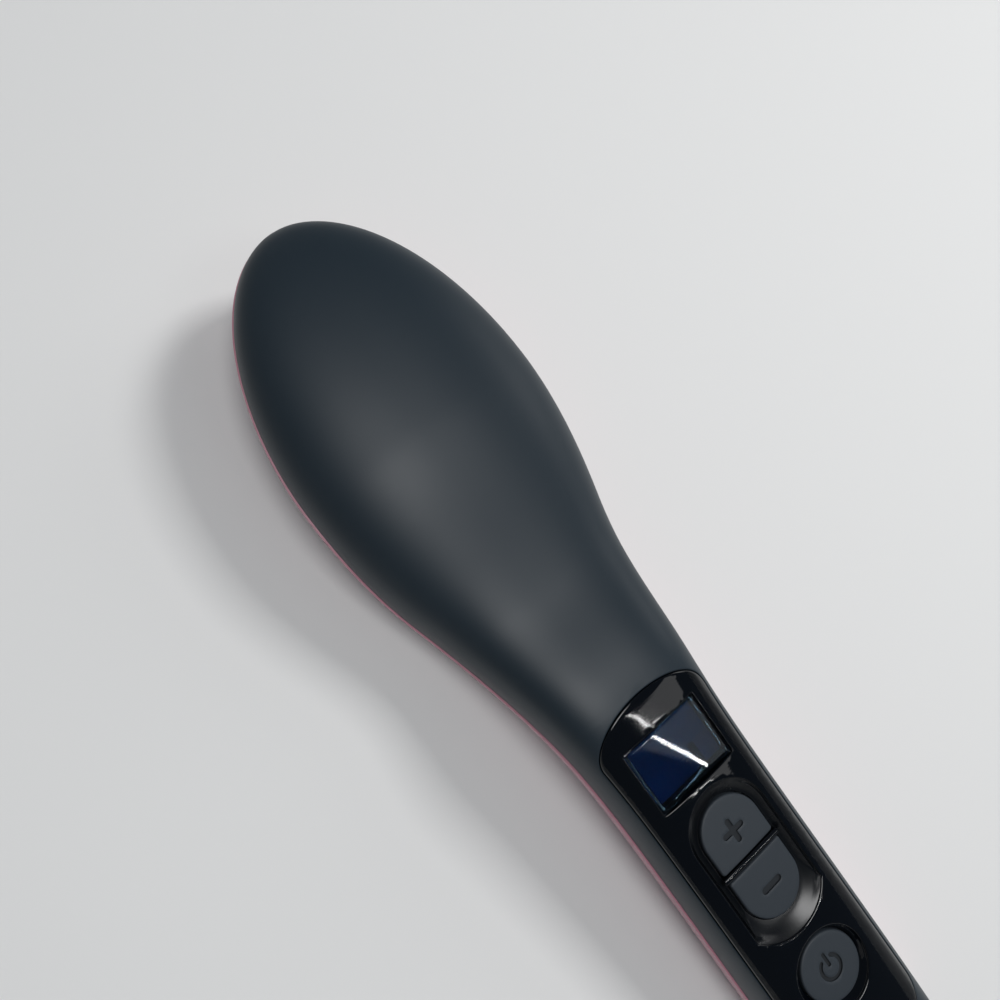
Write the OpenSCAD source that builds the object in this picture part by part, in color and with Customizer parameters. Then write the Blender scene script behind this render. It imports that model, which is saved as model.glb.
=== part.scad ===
// Electric hair straightening brush: black back shell, pink front shell, heated toothed
// plate, gloss control panel with display and three keys, small steam circuit, cord swivel.
// It lies as it rests on a table: teeth and belly down, back up.
// X runs across, +Y points to the tip of the head, +Z up. Stations are counted from the tip.

/* [Overall] */
// Overall length, tip of the head to the end of the cord gland
body_len = 280; // [274:1:290]
// Thickness of the moulded shells
wall = 2.2; // [1.8:0.1:2.4]
// How far the front shell stands proud of the back shell along the seam
proud = 0.4; // [0.2:0.1:0.6]
// Gap left round pieces that drop into an opening
seat_gap = 0.15; // [0.1:0.05:0.25]

/* [Outline seen from the back] */
// Width of the head at its widest
head_w = 68.6; // [66:0.4:70.4]
// Distance from the tip to the widest point
head_s = 60; // [57:1:63]
// Width across the shoulder, below the head
shoulder_w = 58.4; // [57:0.2:59.4]
// Distance from the tip to the shoulder
shoulder_s = 98; // [96:1:100]
// Width at the foot of the neck
neck_w = 42; // [41:0.2:43.6]
// Distance from the tip to the foot of the neck
neck_s = 136; // [134:1:138]
// Width of the grip
grip_w = 37.8; // [37.4:0.2:39.6]
// Distance from the tip to the narrowest part of the grip
grip_s = 184; // [180:1:190]
// Width of the shells where they end
tail_w = 37.2; // [36:0.2:38]
// Distance from the tip to the end of the shells
tail_s = 262; // [260:1:266]

/* [Side profile] */
// Height of the back of the head above the table
head_crown = 36.5; // [35.5:0.5:38]
// Height of the back in the dip of the neck
dip_crown = 31.5; // [31:0.5:33]
// Distance from the tip to the dip of the neck
dip_s = 107; // [105:1:109]
// Height of the back where the control panel starts
crest_crown = 36.2; // [35.6:0.2:37]
// Distance from the tip to the start of the straight back of the grip
crest_s = 142; // [140:1:144]
// Slope of the grip, in degrees
tilt = 5.5; // [5.2:0.1:5.8]
// Height of the seam at the tip of the head
tip_seam = 26; // [25:0.5:26.5]
// Height of the seam at the widest point
head_seam = 22; // [21.5:0.5:23]
// Height of the seam in the dip of the neck
dip_seam = 15.5; // [15.5:0.5:17]
// Depth of the seam below the back of the grip
grip_seam_drop = 13.2; // [12.8:0.2:14]
// Height of the flat front of the head above the table
rim_z = 12; // [11.8:0.1:12.4]
// Thickness of the grip
grip_t = 27.2; // [27:0.2:28]

/* [Heated plate] */
// Distance from the edge of the head to the opening in the front shell
rim_in = 8.5; // [8:0.25:9]
// Width of the ring that carries the outer pins
ring_w = 5.5; // [5:0.25:5.75]
// Thickness of the heated plate
plate_t = 2; // [1.8:0.1:2.2]
// Pitch of the tooth columns across the plate
column_pitch = 7.5; // [7.2:0.1:7.6]
// Pitch of the teeth along a column
tooth_pitch = 9; // [8.5:0.25:10]
// Length of a tooth
tooth_l = 6; // [5:0.25:6.5]
// Thickness of a tooth
tooth_t = 2.2; // [1.8:0.1:2.4]
// Radius of an outer pin
pin_r = 0.9; // [0.8:0.05:1]
// Radius of the ball at the end of an outer pin
ball_r = 1.2; // [1.1:0.05:1.4]

/* [Control panel] */
// Width of the gloss panel at the narrowest part of the grip
panel_w = 31; // [30.6:0.2:31.6]
// Distance from the tip to the arched top of the panel
panel_s = 139; // [138.5:0.25:140]
// Length of the panel
panel_len = 109; // [107:1:110]
// Thickness of the panel's skin
panel_t = 1.2; // [1:0.1:1.3]
// Distance from the tip to the middle of the display
display_s = 156.2; // [156:0.2:157]
// Width of the display window
display_w = 22; // [21:0.2:22.4]
// Length of the display window along the brush
display_l = 17; // [16:0.2:17.4]
// Distance from the tip to the bar between the plus and minus keys
keys_s = 186.8; // [186.4:0.2:187.2]
// Width of the pair of keys
keys_w = 16.6; // [16:0.2:16.8]
// Length of the pair of keys
keys_l = 32.2; // [31.4:0.2:32.4]
// Distance from the tip to the middle of the power key
power_s = 220.4; // [220:0.1:221]
// Radius of the power key
power_r = 8.3; // [8:0.1:8.6]
// Travel of the keys
key_travel = 0.5; // [0.3:0.05:0.6]
// Running gap round the keys
key_gap = 0.3; // [0.25:0.05:0.4]

/* [Cord gland] */
// Radius of the bore for the cord
cord_r = 3.2; // [2.8:0.1:3.6]
// Radius of the gland's shaft
swivel_r = 6; // [5.8:0.1:6.2]
// Running clearance of the shaft in its bearing
run_gap = 0.06; // [0.04:0.01:0.09]

/* [Hidden] */
$fn = 48;

sheet = 0.4;
seam_gap = 0.05;
slope = tan(tilt);
// Exponents of the rounded cross-sections
head_round = 2.5;
grip_round = 3.6;
rim_round = 5;
belly_round = 2.4;
tip_round = 1.95;
tip_round_up = 2.6;
tip_round_down = 6;
ring_steps = 20;
tip_rows = 10;
body_rows = 20;

// Lines along the brush: [station, value, slope]
width_line = [[head_s, head_w / 2, 0], [shoulder_s, shoulder_w / 2, -0.29],
              [neck_s, neck_w / 2, -0.14], [grip_s, grip_w / 2, 0], [tail_s, tail_w / 2, -0.03]];
crown_line = [[0, head_crown, 0], [head_s, head_crown, 0], [dip_s, dip_crown, 0],
              [crest_s, crest_crown, -slope],
              [tail_s, crest_crown - slope * (tail_s - crest_s), -slope]];
seam_line = [[0, tip_seam, 0], [head_s, head_seam, -0.04], [dip_s, dip_seam, 0],
             [crest_s + 8, crest_crown - slope * 8 - grip_seam_drop, -slope / 2],
             [tail_s, crest_crown - slope * (tail_s - crest_s) - grip_seam_drop, -slope]];
belly_top = crest_crown - slope * 8 - grip_t;
belly_flat = -1;
belly_line = [[0, rim_z, 0], [dip_s + 3, rim_z, 0], [crest_s + 8, belly_top, -slope],
              [crest_s + 73, belly_top - slope * 65, -slope],
              [tail_s - 12, belly_flat, 0], [tail_s, belly_flat, 0]];
roundness_line = [[0, head_round, 0], [head_s, head_round, 0], [panel_s, grip_round, 0],
                  [tail_s, grip_round, 0]];
rim_line = [[0, rim_round, 0], [head_s, rim_round, 0], [neck_s, belly_round, 0],
            [tail_s, belly_round, 0]];
over_line = [[0, 1, 0], [head_s, 1, 0], [crest_s + 8, 3.5, 0], [tail_s, 3.5, 0]];

function at(s) = body_len / 2 - s;
function span(line, s, i = 0) = i >= len(line) - 2 || s <= line[i + 1][0] ? i : span(line, s, i + 1);
function along(line, s) =
    let (i = span(line, s), a = line[i], b = line[i + 1], h = b[0] - a[0],
         t = min(max((s - a[0]) / h, 0), 1))
    a[1] * (2 * t ^ 3 - 3 * t ^ 2 + 1) + h * a[2] * (t ^ 3 - 2 * t ^ 2 + t)
    + b[1] * (3 * t ^ 2 - 2 * t ^ 3) + h * b[2] * (t ^ 3 - t ^ 2);

// How a size closes down towards the rounded tip, 0 at the tip and 1 from the widest point on
function fade(s, inset, n) =
    s >= head_s ? 1 : max(0, 1 - ((head_s - s) / (head_s - inset)) ^ n) ^ (1 / n);
function half_w(s, inset) =
    s >= head_s ? along(width_line, s) - inset : (head_w / 2 - inset) * fade(s, inset, tip_round);
function over(s) = along(over_line, s);
function widest_z(s) = along(seam_line, s) - over(s);
function section_z(s, inset) = along(seam_line, s) - over(s) * fade(s, inset, tip_round_up);
function rise(s, inset) =
    (along(crown_line, s) - widest_z(s) - inset + proud) * fade(s, inset, tip_round_up);
function drop(s, inset) =
    (widest_z(s) - along(belly_line, s) - inset) * fade(s, inset, tip_round_down);
function bulge(c, n) = sign(c) * abs(c) ^ (2 / n);
function seam_angle(s, inset) =
    asin((over(s) / (along(crown_line, s) - widest_z(s) - inset + proud))
         ^ (along(roundness_line, s) / 2));

// Height of the outer surface of the back shell at x across and station s
function back_z(x, s) =
    let (n = along(roundness_line, s))
    section_z(s, proud)
    + rise(s, proud) * max(0, 1 - (abs(x) / half_w(s, proud)) ^ n) ^ (1 / n);

// Stations of the rows of a shell; the first row is the tip itself
function shell_rows(inset) = concat(
    [for (i = [0:tip_rows]) head_s - (head_s - inset) * cos(90 * i / tip_rows)],
    [for (i = [1:body_rows]) head_s + (tail_s - head_s) * i / body_rows]);

function back_row(s, inset) =
    let (n = along(roundness_line, s), a = seam_angle(s, inset), w = half_w(s, inset))
    [for (i = [0:ring_steps])
        let (t = a + (180 - 2 * a) * i / ring_steps)
        [w * bulge(cos(t), n), at(s), section_z(s, inset) + rise(s, inset) * bulge(sin(t), n)]];

function front_row(s, inset) =
    let (n = along(roundness_line, s), m = along(rim_line, s), a = seam_angle(s, inset),
         w = half_w(s, inset))
    [for (i = [0:ring_steps + 2])
        let (t = i == 0 ? -a : i == ring_steps + 2 ? 180 + a : 180 * (i - 1) / ring_steps)
        t < 0 || t > 180
            ? [w * bulge(cos(t), n), at(s),
               section_z(s, inset) - rise(s, inset) * bulge(sin(t), n) - seam_gap]
            : [w * bulge(cos(t), m), at(s), section_z(s, inset) - drop(s, inset) * bulge(sin(t), m)]];

function tip_point(inset) = [[0, at(inset), along(seam_line, inset)]];

// A skin between two grids of points. A row of one point closes the skin there.
function starts(rows) = [for (i = 0, n = 0; i < len(rows); n = n + len(rows[i]), i = i + 1) n];
function patch(a, b, c, d) = concat(a == b ? [] : [[a, c, b]], c == d ? [] : [[a, d, c]]);
module skin(outer, inner) {
    so = starts(outer);
    total = so[len(so) - 1] + len(outer[len(outer) - 1]);
    k = max([for (r = outer) len(r)]) - 1;
    last = len(outer) - 1;
    function o(i, j) = so[i] + (len(outer[i]) == 1 ? 0 : j);
    function n(i, j) = total + o(i, j);
    body = [for (i = [0:last - 1]) each concat(
        [for (j = [0:k - 1]) each patch(o(i, j), o(i, j + 1), o(i + 1, j + 1), o(i + 1, j))],
        [for (j = [0:k - 1]) each patch(n(i, j + 1), n(i, j), n(i + 1, j), n(i + 1, j + 1))],
        patch(n(i, 0), o(i, 0), o(i + 1, 0), n(i + 1, 0)),
        patch(o(i, k), n(i, k), n(i + 1, k), o(i + 1, k)))];
    first_end = len(outer[0]) == 1 ? [] :
        [for (j = [0:k - 1]) each patch(n(0, j), n(0, j + 1), o(0, j + 1), o(0, j))];
    last_end = len(outer[last]) == 1 ? [] :
        [for (j = [0:k - 1]) each patch(o(last, j), o(last, j + 1), n(last, j + 1), n(last, j))];
    polyhedron(points = concat([for (r = outer) each r], [for (r = inner) each r]),
               faces = concat(body, first_end, last_end), convexity = 8);
}

// The frame of the grip: its origin lies on the back at the middle of the panel, its Y runs
// up the slope towards the head and its Z stands square to the panel
mid_s = panel_s + panel_len / 2;
mid_z = along(crown_line, mid_s);
module in_grip() { translate([0, at(mid_s), mid_z]) rotate([tilt, 0, 0]) children(); }
function up_grip(s) = (mid_s - s) / cos(tilt);
function from_grip(p) = [p[0], at(mid_s) + p[1] * cos(tilt) - p[2] * sin(tilt),
                         mid_z + p[1] * sin(tilt) + p[2] * cos(tilt)];

module slab(size, z_low, z_high) {
    translate([-size[0] / 2, -size[1] / 2, z_low]) cube([size[0], size[1], z_high - z_low]);
}
module rod(r, z_low, z_high) { translate([0, 0, z_low]) cylinder(r = r, h = z_high - z_low); }
module tube_ring(r_out, r_in, z_low, z_high) {
    difference() {
        rod(r_out, z_low, z_high);
        rod(r_in, z_low - 1, z_high + 1);
    }
}
module stadium(w, l) {
    union() {
        square([w, l - w], center = true);
        for (e = [-1, 1]) translate([0, e * (l - w) / 2]) circle(d = w);
    }
}
// A lead or a hose through a list of points, hollow where a bore is given
function unit(v) = v / norm(v);
function heading(points, i) = unit(
    (i > 0 ? unit(points[i] - points[i - 1]) : [0, 0, 0])
    + (i < len(points) - 1 ? unit(points[i + 1] - points[i]) : [0, 0, 0]));
function hoops(points, r, sides) = [for (i = [0:len(points) - 1])
    let (d = heading(points, i), u = unit(cross(d, [0, 0, 1])), v = cross(d, u))
    for (j = [0:sides - 1]) points[i] + r * (u * cos(360 * j / sides) + v * sin(360 * j / sides))];
module run(points, r, bore = 0, sides = 12) {
    last = len(points) - 1;
    total = (last + 1) * sides;
    function h(i, j) = i * sides + j % sides;
    skin_out = [for (i = [0:last - 1]) for (j = [0:sides - 1])
        each patch(h(i, j), h(i, j + 1), h(i + 1, j + 1), h(i + 1, j))];
    if (bore > 0) {
        skin_in = [for (i = [0:last - 1]) for (j = [0:sides - 1])
            each patch(total + h(i, j + 1), total + h(i, j),
                       total + h(i + 1, j), total + h(i + 1, j + 1))];
        ends = [for (j = [0:sides - 1]) each concat(
            patch(total + h(0, j), total + h(0, j + 1), h(0, j + 1), h(0, j)),
            patch(h(last, j), h(last, j + 1), total + h(last, j + 1), total + h(last, j)))];
        polyhedron(points = concat(hoops(points, r, sides), hoops(points, bore, sides)),
                   faces = concat(skin_out, skin_in, ends), convexity = 6);
    } else {
        polyhedron(points = hoops(points, r, sides), convexity = 6,
                   faces = concat(skin_out, [[for (j = [0:sides - 1]) j]],
                                  [[for (j = [sides - 1:-1:0]) h(last, j)]]));
    }
}

// ---- Shells -------------------------------------------------------------------------------

// Housing screws: [x, station]
housing_points = [[0, crest_s - 2.5], [0, tail_s - 21]];
boss_r = 3;
screw_r = 1.5;
screw_gap = 0.05;
screw_head_r = 2.7;
screw_head_h = 2;
cap_r = 3;
cap_h = 1.4;
shield_z = 19.6;
shield_t = 1.6;
shield_end = 104.5;
shield_points = [[-19, 42], [19, 42], [-18, 84], [18, 84]];
shield_boss_r = 2.6;
rebate_depth = panel_t + seat_gap;

module housing_bosses_back() {
    for (p = housing_points) {
        top = back_z(abs(p[0]) + boss_r, p[1]) - rebate_depth - 0.3;
        seam = along(seam_line, p[1]);
        translate([p[0], at(p[1]), 0]) tube_ring(boss_r, screw_r + screw_gap, seam, top);
    }
    for (p = shield_points) {
        top = back_z(abs(p[0]), p[1]) - wall / 2;
        translate([p[0], at(p[1]), 0])
            tube_ring(shield_boss_r, screw_r + screw_gap, shield_z + shield_t, top);
    }
}

// Outline of the panel, at a distance grown outside its edge
panel_arch = 10;
arch_round = 2.05;
function panel_half(s, grow) =
    let (a = panel_s - grow, b = panel_s + panel_len + grow, arch = panel_arch + grow,
         e = min(s - a, b - s), half = along(width_line, s) + (panel_w - grip_w) / 2 + grow)
    e >= arch ? half : half * max(0, 1 - ((arch - e) / arch) ^ arch_round) ^ (1 / arch_round);
panel_cols = 12;
panel_end_rows = 6;
panel_mid_rows = 5;
function panel_rows(grow) =
    let (a = panel_s - grow, b = panel_s + panel_len + grow, arch = panel_arch + grow)
    concat(
        [for (i = [0:panel_end_rows]) a + arch * (1 - cos(90 * i / panel_end_rows))],
        [for (i = [1:panel_mid_rows - 1])
            a + arch + (b - a - 2 * arch) * i / panel_mid_rows],
        [for (i = [0:panel_end_rows]) b - arch * (1 - sin(90 * i / panel_end_rows))]);
function panel_grid(grow, lift) =
    let (rows = panel_rows(grow), last = len(rows) - 1)
    [for (i = [0:last])
        let (s = rows[i], w = panel_half(s, grow))
        i == 0 || i == last
            ? [[0, at(s), back_z(0, s) + lift]]
            : [for (j = [0:panel_cols])
                let (x = w * cos(180 * j / panel_cols)) [x, at(s), back_z(x, s) + lift]]];
module panel_skin(grow, low, high) { skin(panel_grid(grow, high), panel_grid(grow, low)); }

// Wells of the panel that reach down through the back shell, in the frame of the grip
display_well = [display_w + 4, display_l + 4];
power_well_r = power_r + 3.6;
dish_r = power_r + 1.6;
panel_land = 3.1;
wells_meet = up_grip(display_s) - display_well[1] / 2;
recess_foot = up_grip(power_s) + dish_r + panel_land;
keys_well_foot = recess_foot - 2;
keys_well = [keys_w + 8, wells_meet - keys_well_foot];
keys_well_mid = (wells_meet + keys_well_foot) / 2;
well_low = -5.5;
display_low = -4;
module well_windows(grow) {
    translate([0, up_grip(display_s), 0]) square(display_well + [grow, grow] * 2, center = true);
    translate([0, keys_well_mid, 0]) square(keys_well + [grow, grow] * 2, center = true);
    translate([0, up_grip(power_s), 0]) circle(r = power_well_r + grow);
}

module back_shell() {
    rows_out = shell_rows(proud);
    rows_in = shell_rows(proud + wall);
    last = len(rows_out) - 1;
    color("#15191d") difference() {
        union() {
            skin([for (i = [0:last]) i == 0 ? tip_point(proud) : back_row(rows_out[i], proud)],
                 [for (i = [0:last]) i == 0 ? tip_point(proud + wall)
                                            : back_row(rows_in[i], proud + wall)]);
            housing_bosses_back();
        }
        panel_skin(seat_gap, -rebate_depth, 3);
        in_grip() translate([0, 0, -6]) linear_extrude(8) well_windows(seat_gap);
    }
}

// Outline of the opening for the heated plate, shrunk by inset
open_bend_s = 96;
open_end_s = 113;
function open_half(s, inset) =
    let (tip = rim_in + inset, end = open_end_s - inset)
    s < head_s
        ? (head_w / 2 - tip) * max(0, 1 - ((head_s - s) / (head_s - tip)) ^ 2) ^ 0.5
        : (along(width_line, s) - tip)
          * (s < open_bend_s ? 1
             : max(0, 1 - ((s - open_bend_s) / (end - open_bend_s)) ^ 2.4) ^ (1 / 2.4));
function open_rows(inset) =
    let (tip = rim_in + inset, end = open_end_s - inset)
    concat([for (i = [0:12]) head_s - (head_s - tip) * cos(90 * i / 12)],
           [for (i = [1:5]) head_s + (open_bend_s - head_s) * i / 5],
           [for (i = [1:8]) open_bend_s + (end - open_bend_s) * sin(90 * i / 8)]);
module open_outline(inset) {
    rows = open_rows(inset);
    last = len(rows) - 1;
    polygon(concat([for (i = [0:last]) [open_half(rows[i], inset), at(rows[i])]],
                   [for (i = [last - 1:-1:1]) [-open_half(rows[i], inset), at(rows[i])]]));
}

cap_floor = [along(belly_line, crest_s - 2.5) + 0.6, 0.3];
filler_s = 125;
filler_r = 5;
plug_cap_r = 7;
module front_shell() {
    rows_out = shell_rows(0);
    rows_in = shell_rows(wall);
    last = len(rows_out) - 1;
    color("#d98a9c") difference() {
        union() {
            skin([for (i = [0:last]) i == 0 ? tip_point(wall)
                                            : front_row(rows_in[i], wall)],
                 [for (i = [0:last]) i == 0 ? tip_point(0) : front_row(rows_out[i], 0)]);
            for (i = [0:1]) {
                p = housing_points[i];
                translate([p[0], at(p[1]), 0])
                    rod(boss_r + 1, cap_floor[i] + 0.4, along(seam_line, p[1]) - seam_gap);
            }
            for (x = [-10.5, 7.2]) for (s = [116.5, 130.8]) translate([x, at(s), 0])
                rod(2, rim_z + 0.8, tank_z);
            in_grip() {
                for (x = [-7, 7]) for (s = [184, 228]) translate([x, up_grip(s), 0])
                    rod(1.8, low_top - board_t - 2.6, low_top - board_t);
                for (x = [-6, 6]) translate([x, up_grip(pump_s - 7), 0])
                    rod(2.4, pump_low - 1.8, pump_low);
            }
        }
        translate([0, 0, -5]) linear_extrude(25) open_outline(0);
        translate([-30, -body_len / 2, -10]) cube([60, body_len, 10]);
        for (i = [0:1]) {
            p = housing_points[i];
            translate([p[0], at(p[1]), 0]) {
                rod(screw_r + screw_gap, -5, 30);
                rod(cap_r + screw_gap, -5, cap_floor[i] + cap_h + screw_head_h + 0.2);
            }
        }
        translate([0, at(filler_s), 0]) rod(plug_cap_r + key_gap, -5, 20);
    }
}

module housing_screws() {
    color("silver") for (i = [0:1]) {
        p = housing_points[i];
        z = cap_floor[i] + cap_h + 0.1;
        translate([p[0], at(p[1]), 0]) {
            rod(screw_head_r, z, z + screw_head_h);
            rod(screw_r, z + screw_head_h, along(seam_line, p[1]) + 7);
        }
    }
}

module screw_caps() {
    color("#c47c8e") for (i = [0:1]) {
        p = housing_points[i];
        translate([p[0], at(p[1]), 0]) rod(cap_r, cap_floor[i], cap_floor[i] + cap_h);
    }
}

// ---- Control panel ------------------------------------------------------------------------

window_t = 1.2;
window_low = -2.3;
recess_half = 11;
recess_above = 4;
arc_rise = 4.8;
recess_low = -2.3;
mouth_z = -0.5;
key_top = -1.15;
bar_w = 1.5;
stem_r = 1.7;
board_top = -13;
board_t = 1.6;
switch_top = -9.5;
stem_low = -11;
flange_top = well_low - 0.3;
flange_t = 1;

// Mouth of the key recess: round above the keys, closed by a shallow arc below them
module recess_mouth() {
    arc_r = (recess_half ^ 2 + arc_rise ^ 2) / (2 * arc_rise);
    top = keys_l / 2 + recess_above;
    bottom = recess_foot - up_grip(keys_s);
    union() {
        translate([0, top - recess_half]) circle(r = recess_half);
        translate([-recess_half, bottom + arc_rise])
            square([2 * recess_half, top - recess_half - bottom - arc_rise]);
        intersection() {
            translate([0, bottom + arc_r]) circle(r = arc_r);
            translate([-recess_half, bottom - 1]) square([2 * recess_half, arc_rise + 2]);
        }
    }
}

module control_panel() {
    color("#05070c") difference() {
        union() {
            difference() {
                union() {
                    panel_skin(0, -panel_t, 0);
                    in_grip() {
                        translate([0, up_grip(display_s), 0]) slab(display_well, display_low, -1.5);
                        translate([0, keys_well_mid, 0]) slab(keys_well, well_low, -1.2);
                        translate([0, up_grip(power_s), 0]) rod(power_well_r, well_low, -0.8);
                        for (p = board_screw_points) translate([p[0], up_grip(p[1]), 0])
                            rod(2, board_top, well_low + 0.5);
                    }
                }
                in_grip() {
                    for (p = board_screw_points) translate([p[0], up_grip(p[1]), 0])
                        rod(1.05, board_top - 1, board_top + 4.5);
                    translate([0, up_grip(display_s), 0]) {
                        slab([display_w + 2 * seat_gap, display_l + 2 * seat_gap], window_low, 1);
                        slab([display_w - 2, display_l - 2], display_low - 1, 1);
                    }
                    translate([0, up_grip(keys_s), 0]) {
                        hull() {
                            translate([0, 0, recess_low]) linear_extrude(0.2)
                                stadium(keys_w + 0.8, keys_l + 0.8);
                            translate([0, 0, mouth_z]) linear_extrude(1.2) recess_mouth();
                        }
                        translate([0, 0, well_low - 1]) linear_extrude(8)
                            stadium(keys_w + 2 * key_gap, keys_l + 2 * key_gap);
                    }
                    translate([0, up_grip(power_s), 0]) {
                        translate([0, 0, -2]) cylinder(r1 = power_r + 0.5, r2 = dish_r, h = 2.2);
                        rod(power_r + key_gap, well_low - 1, 1);
                    }
                }
            }
            in_grip() translate([0, up_grip(keys_s), 0])
                slab([keys_w + 2 * key_gap + 0.4, bar_w], well_low, key_top + 0.15);
        }
    }
}

module lcd_window() {
    color([0.1, 0.16, 0.3, 0.8]) in_grip() translate([0, up_grip(display_s), 0])
        slab([display_w, display_l], window_low, window_low + window_t);
}

module lcd_module() {
    color("#2a3350") in_grip() translate([0, up_grip(display_s), 0]) {
        slab([display_w + 2.4, display_l + 3], display_low - 2.8, display_low);
    }
}

module lcd_holder() {
    color("#e8e8e4") in_grip() translate([0, up_grip(display_s), 0]) difference() {
        slab([display_w + 2.4, display_l + 3], board_top, display_low - 2.8);
        slab([display_w - 1, display_l - 1], board_top - 1, display_low);
    }
}

board_w = 29;
board_s0 = 145;
board_s1 = 236;
board_screw_points = [[-11.2, 169.6], [11.2, 169.6], [-8.8, 229.6], [8.8, 229.6]];
module main_board() {
    color("#1f5a36") in_grip() difference() {
        translate([0, (up_grip(board_s0) + up_grip(board_s1)) / 2, 0])
            slab([board_w, board_s1 - board_s0], board_top - board_t, board_top);
        for (p = board_screw_points) translate([p[0], up_grip(p[1]), 0])
            rod(1.1, board_top - board_t - 1, board_top + 1);
    }
}

module board_parts() {
    color("#202124") in_grip() {
        translate([0, up_grip(203), 0]) slab([7, 7], board_top, board_top + 1.4);
        translate([9, up_grip(198), 0]) slab([5, 4], board_top, board_top + 1.6);
        translate([-9, up_grip(200), 0]) slab([4, 9], board_top, board_top + 3.5);
        translate([9.5, up_grip(208), 0]) rod(2.5, board_top, board_top + 5);
        translate([-10, up_grip(178), 0]) rod(2.9, board_top, board_top + 3.2);
        for (i = [0:4]) translate([-4 + 2 * i, up_grip(185), 0])
            slab([1, 1.8], board_top, board_top + 0.6);
    }
}

// Board screws run up from below into posts of the panel's wells
module board_screws() {
    color("silver") in_grip() for (p = board_screw_points) translate([p[0], up_grip(p[1]), 0]) {
        rod(1.9, board_top - board_t - 1.4, board_top - board_t);
        rod(1, board_top - board_t, board_top + 4);
    }
}

plus_shift = keys_l / 4 + bar_w / 4;
switch_points = [up_grip(keys_s) + plus_shift, up_grip(keys_s) - plus_shift, up_grip(power_s)];
module key_switches() {
    color("#111214") in_grip() for (y = switch_points) translate([0, y, 0]) difference() {
        slab([6, 6], board_top, switch_top);
        rod(stem_r + 0.3, stem_low - key_travel - 0.4, switch_top + 1);
    }
}
module switch_stem(i) {
    color("#c9cbd0") in_grip() translate([0, switch_points[i], 0]) rod(stem_r, stem_low, switch_top + 0.4);
}
module switch_stem_plus() { switch_stem(0); }
module switch_stem_minus() { switch_stem(1); }
module switch_stem_power() { switch_stem(2); }

mark_depth = 0.35;
mark_w = 1.2;
mark_l = 4.4;
module mark_pill(l, angle = 0) {
    rotate([0, 0, angle]) translate([0, 0, key_top - mark_depth]) linear_extrude(2) stadium(mark_w, l);
}
// One of the two half-stadium keys; side is 1 towards the head, -1 towards the grip
module half_key(side, stem_y) {
    edge = bar_w / 2 + key_gap;
    union() {
        intersection() {
            translate([0, 0, flange_top]) linear_extrude(key_top - flange_top) stadium(keys_w, keys_l);
            translate([-keys_w, side > 0 ? edge : -edge - keys_l, flange_top - 1])
                cube([2 * keys_w, keys_l, 10]);
        }
        intersection() {
            translate([0, 0, flange_top - flange_t]) linear_extrude(flange_t)
                stadium(keys_w + 2.4, keys_l + 2.4);
            translate([-keys_w, side > 0 ? edge : -edge - keys_l, flange_top - flange_t - 1])
                cube([2 * keys_w, keys_l, 10]);
        }
        translate([0, stem_y, 0]) rod(stem_r, switch_top + 0.4, flange_top - flange_t + 0.2);
    }
}
module plus_button() {
    color("#34383d") in_grip() translate([0, up_grip(keys_s), 0]) difference() {
        half_key(1, plus_shift);
        translate([0, plus_shift - 0.6, 0]) {
            mark_pill(mark_l);
            mark_pill(mark_l, 90);
        }
    }
}
module minus_button() {
    color("#34383d") in_grip() translate([0, up_grip(keys_s), 0]) difference() {
        half_key(-1, -plus_shift);
        translate([0, -plus_shift, 0]) mark_pill(mark_l + 0.4, 90);
    }
}
module power_button() {
    arc_r = 2.3;
    color("#34383d") in_grip() translate([0, up_grip(power_s), 0]) difference() {
        union() {
            rod(power_r, flange_top, key_top);
            rod(power_r + 1.3, flange_top - flange_t, flange_top);
            rod(stem_r, switch_top + 0.4, flange_top - flange_t);
        }
        difference() {
            tube_ring(arc_r + 0.35, arc_r - 0.35, key_top - mark_depth, 1);
            translate([0, arc_r, 0]) slab([2.2, 2.2], key_top - 1, 2);
        }
        translate([0, arc_r - 0.3, key_top - mark_depth]) linear_extrude(2) stadium(0.8, 2.4);
    }
}

// ---- Power electronics, low in the grip -----------------------------------------------------

low_top = -21.8;
module power_board() {
    color("#24603a") in_grip() translate([0, (up_grip(180) + up_grip(234)) / 2, 0])
        slab([19, 54], low_top - board_t, low_top);
}
module power_capacitor() {
    color("#c9a227") in_grip() translate([-5.5, up_grip(190), 0]) slab([7, 14], low_top, low_top + 5.2);
}
module triac() {
    color("#2a2a2c") in_grip() {
        translate([6, up_grip(191), 0]) slab([8, 10], low_top, low_top + 4);
        translate([6, up_grip(184.5), 0]) slab([8, 3], low_top, low_top + 1.2);
    }
}
module line_fuse() {
    color("#d8d4c8") in_grip() translate([-5.5, up_grip(212), low_top + 2.4])
        rotate([90, 0, 0]) cylinder(r = 2.4, h = 16);
}
module terminal_block() {
    color("#3f7f4f") in_grip() difference() {
        translate([4.4, up_grip(226), 0]) slab([10, 8], low_top, low_top + 5.4);
        for (x = [2, 6.8]) translate([x, up_grip(226), 0]) rod(1.5, low_top + 2, low_top + 8);
    }
}

// ---- Head ---------------------------------------------------------------------------------

plate_low = rim_z + 0.3;
plate_top = plate_low + plate_t;
ring_low = rim_z - 0.2;
column_x = [for (i = [-2:2]) i * column_pitch];
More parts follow.
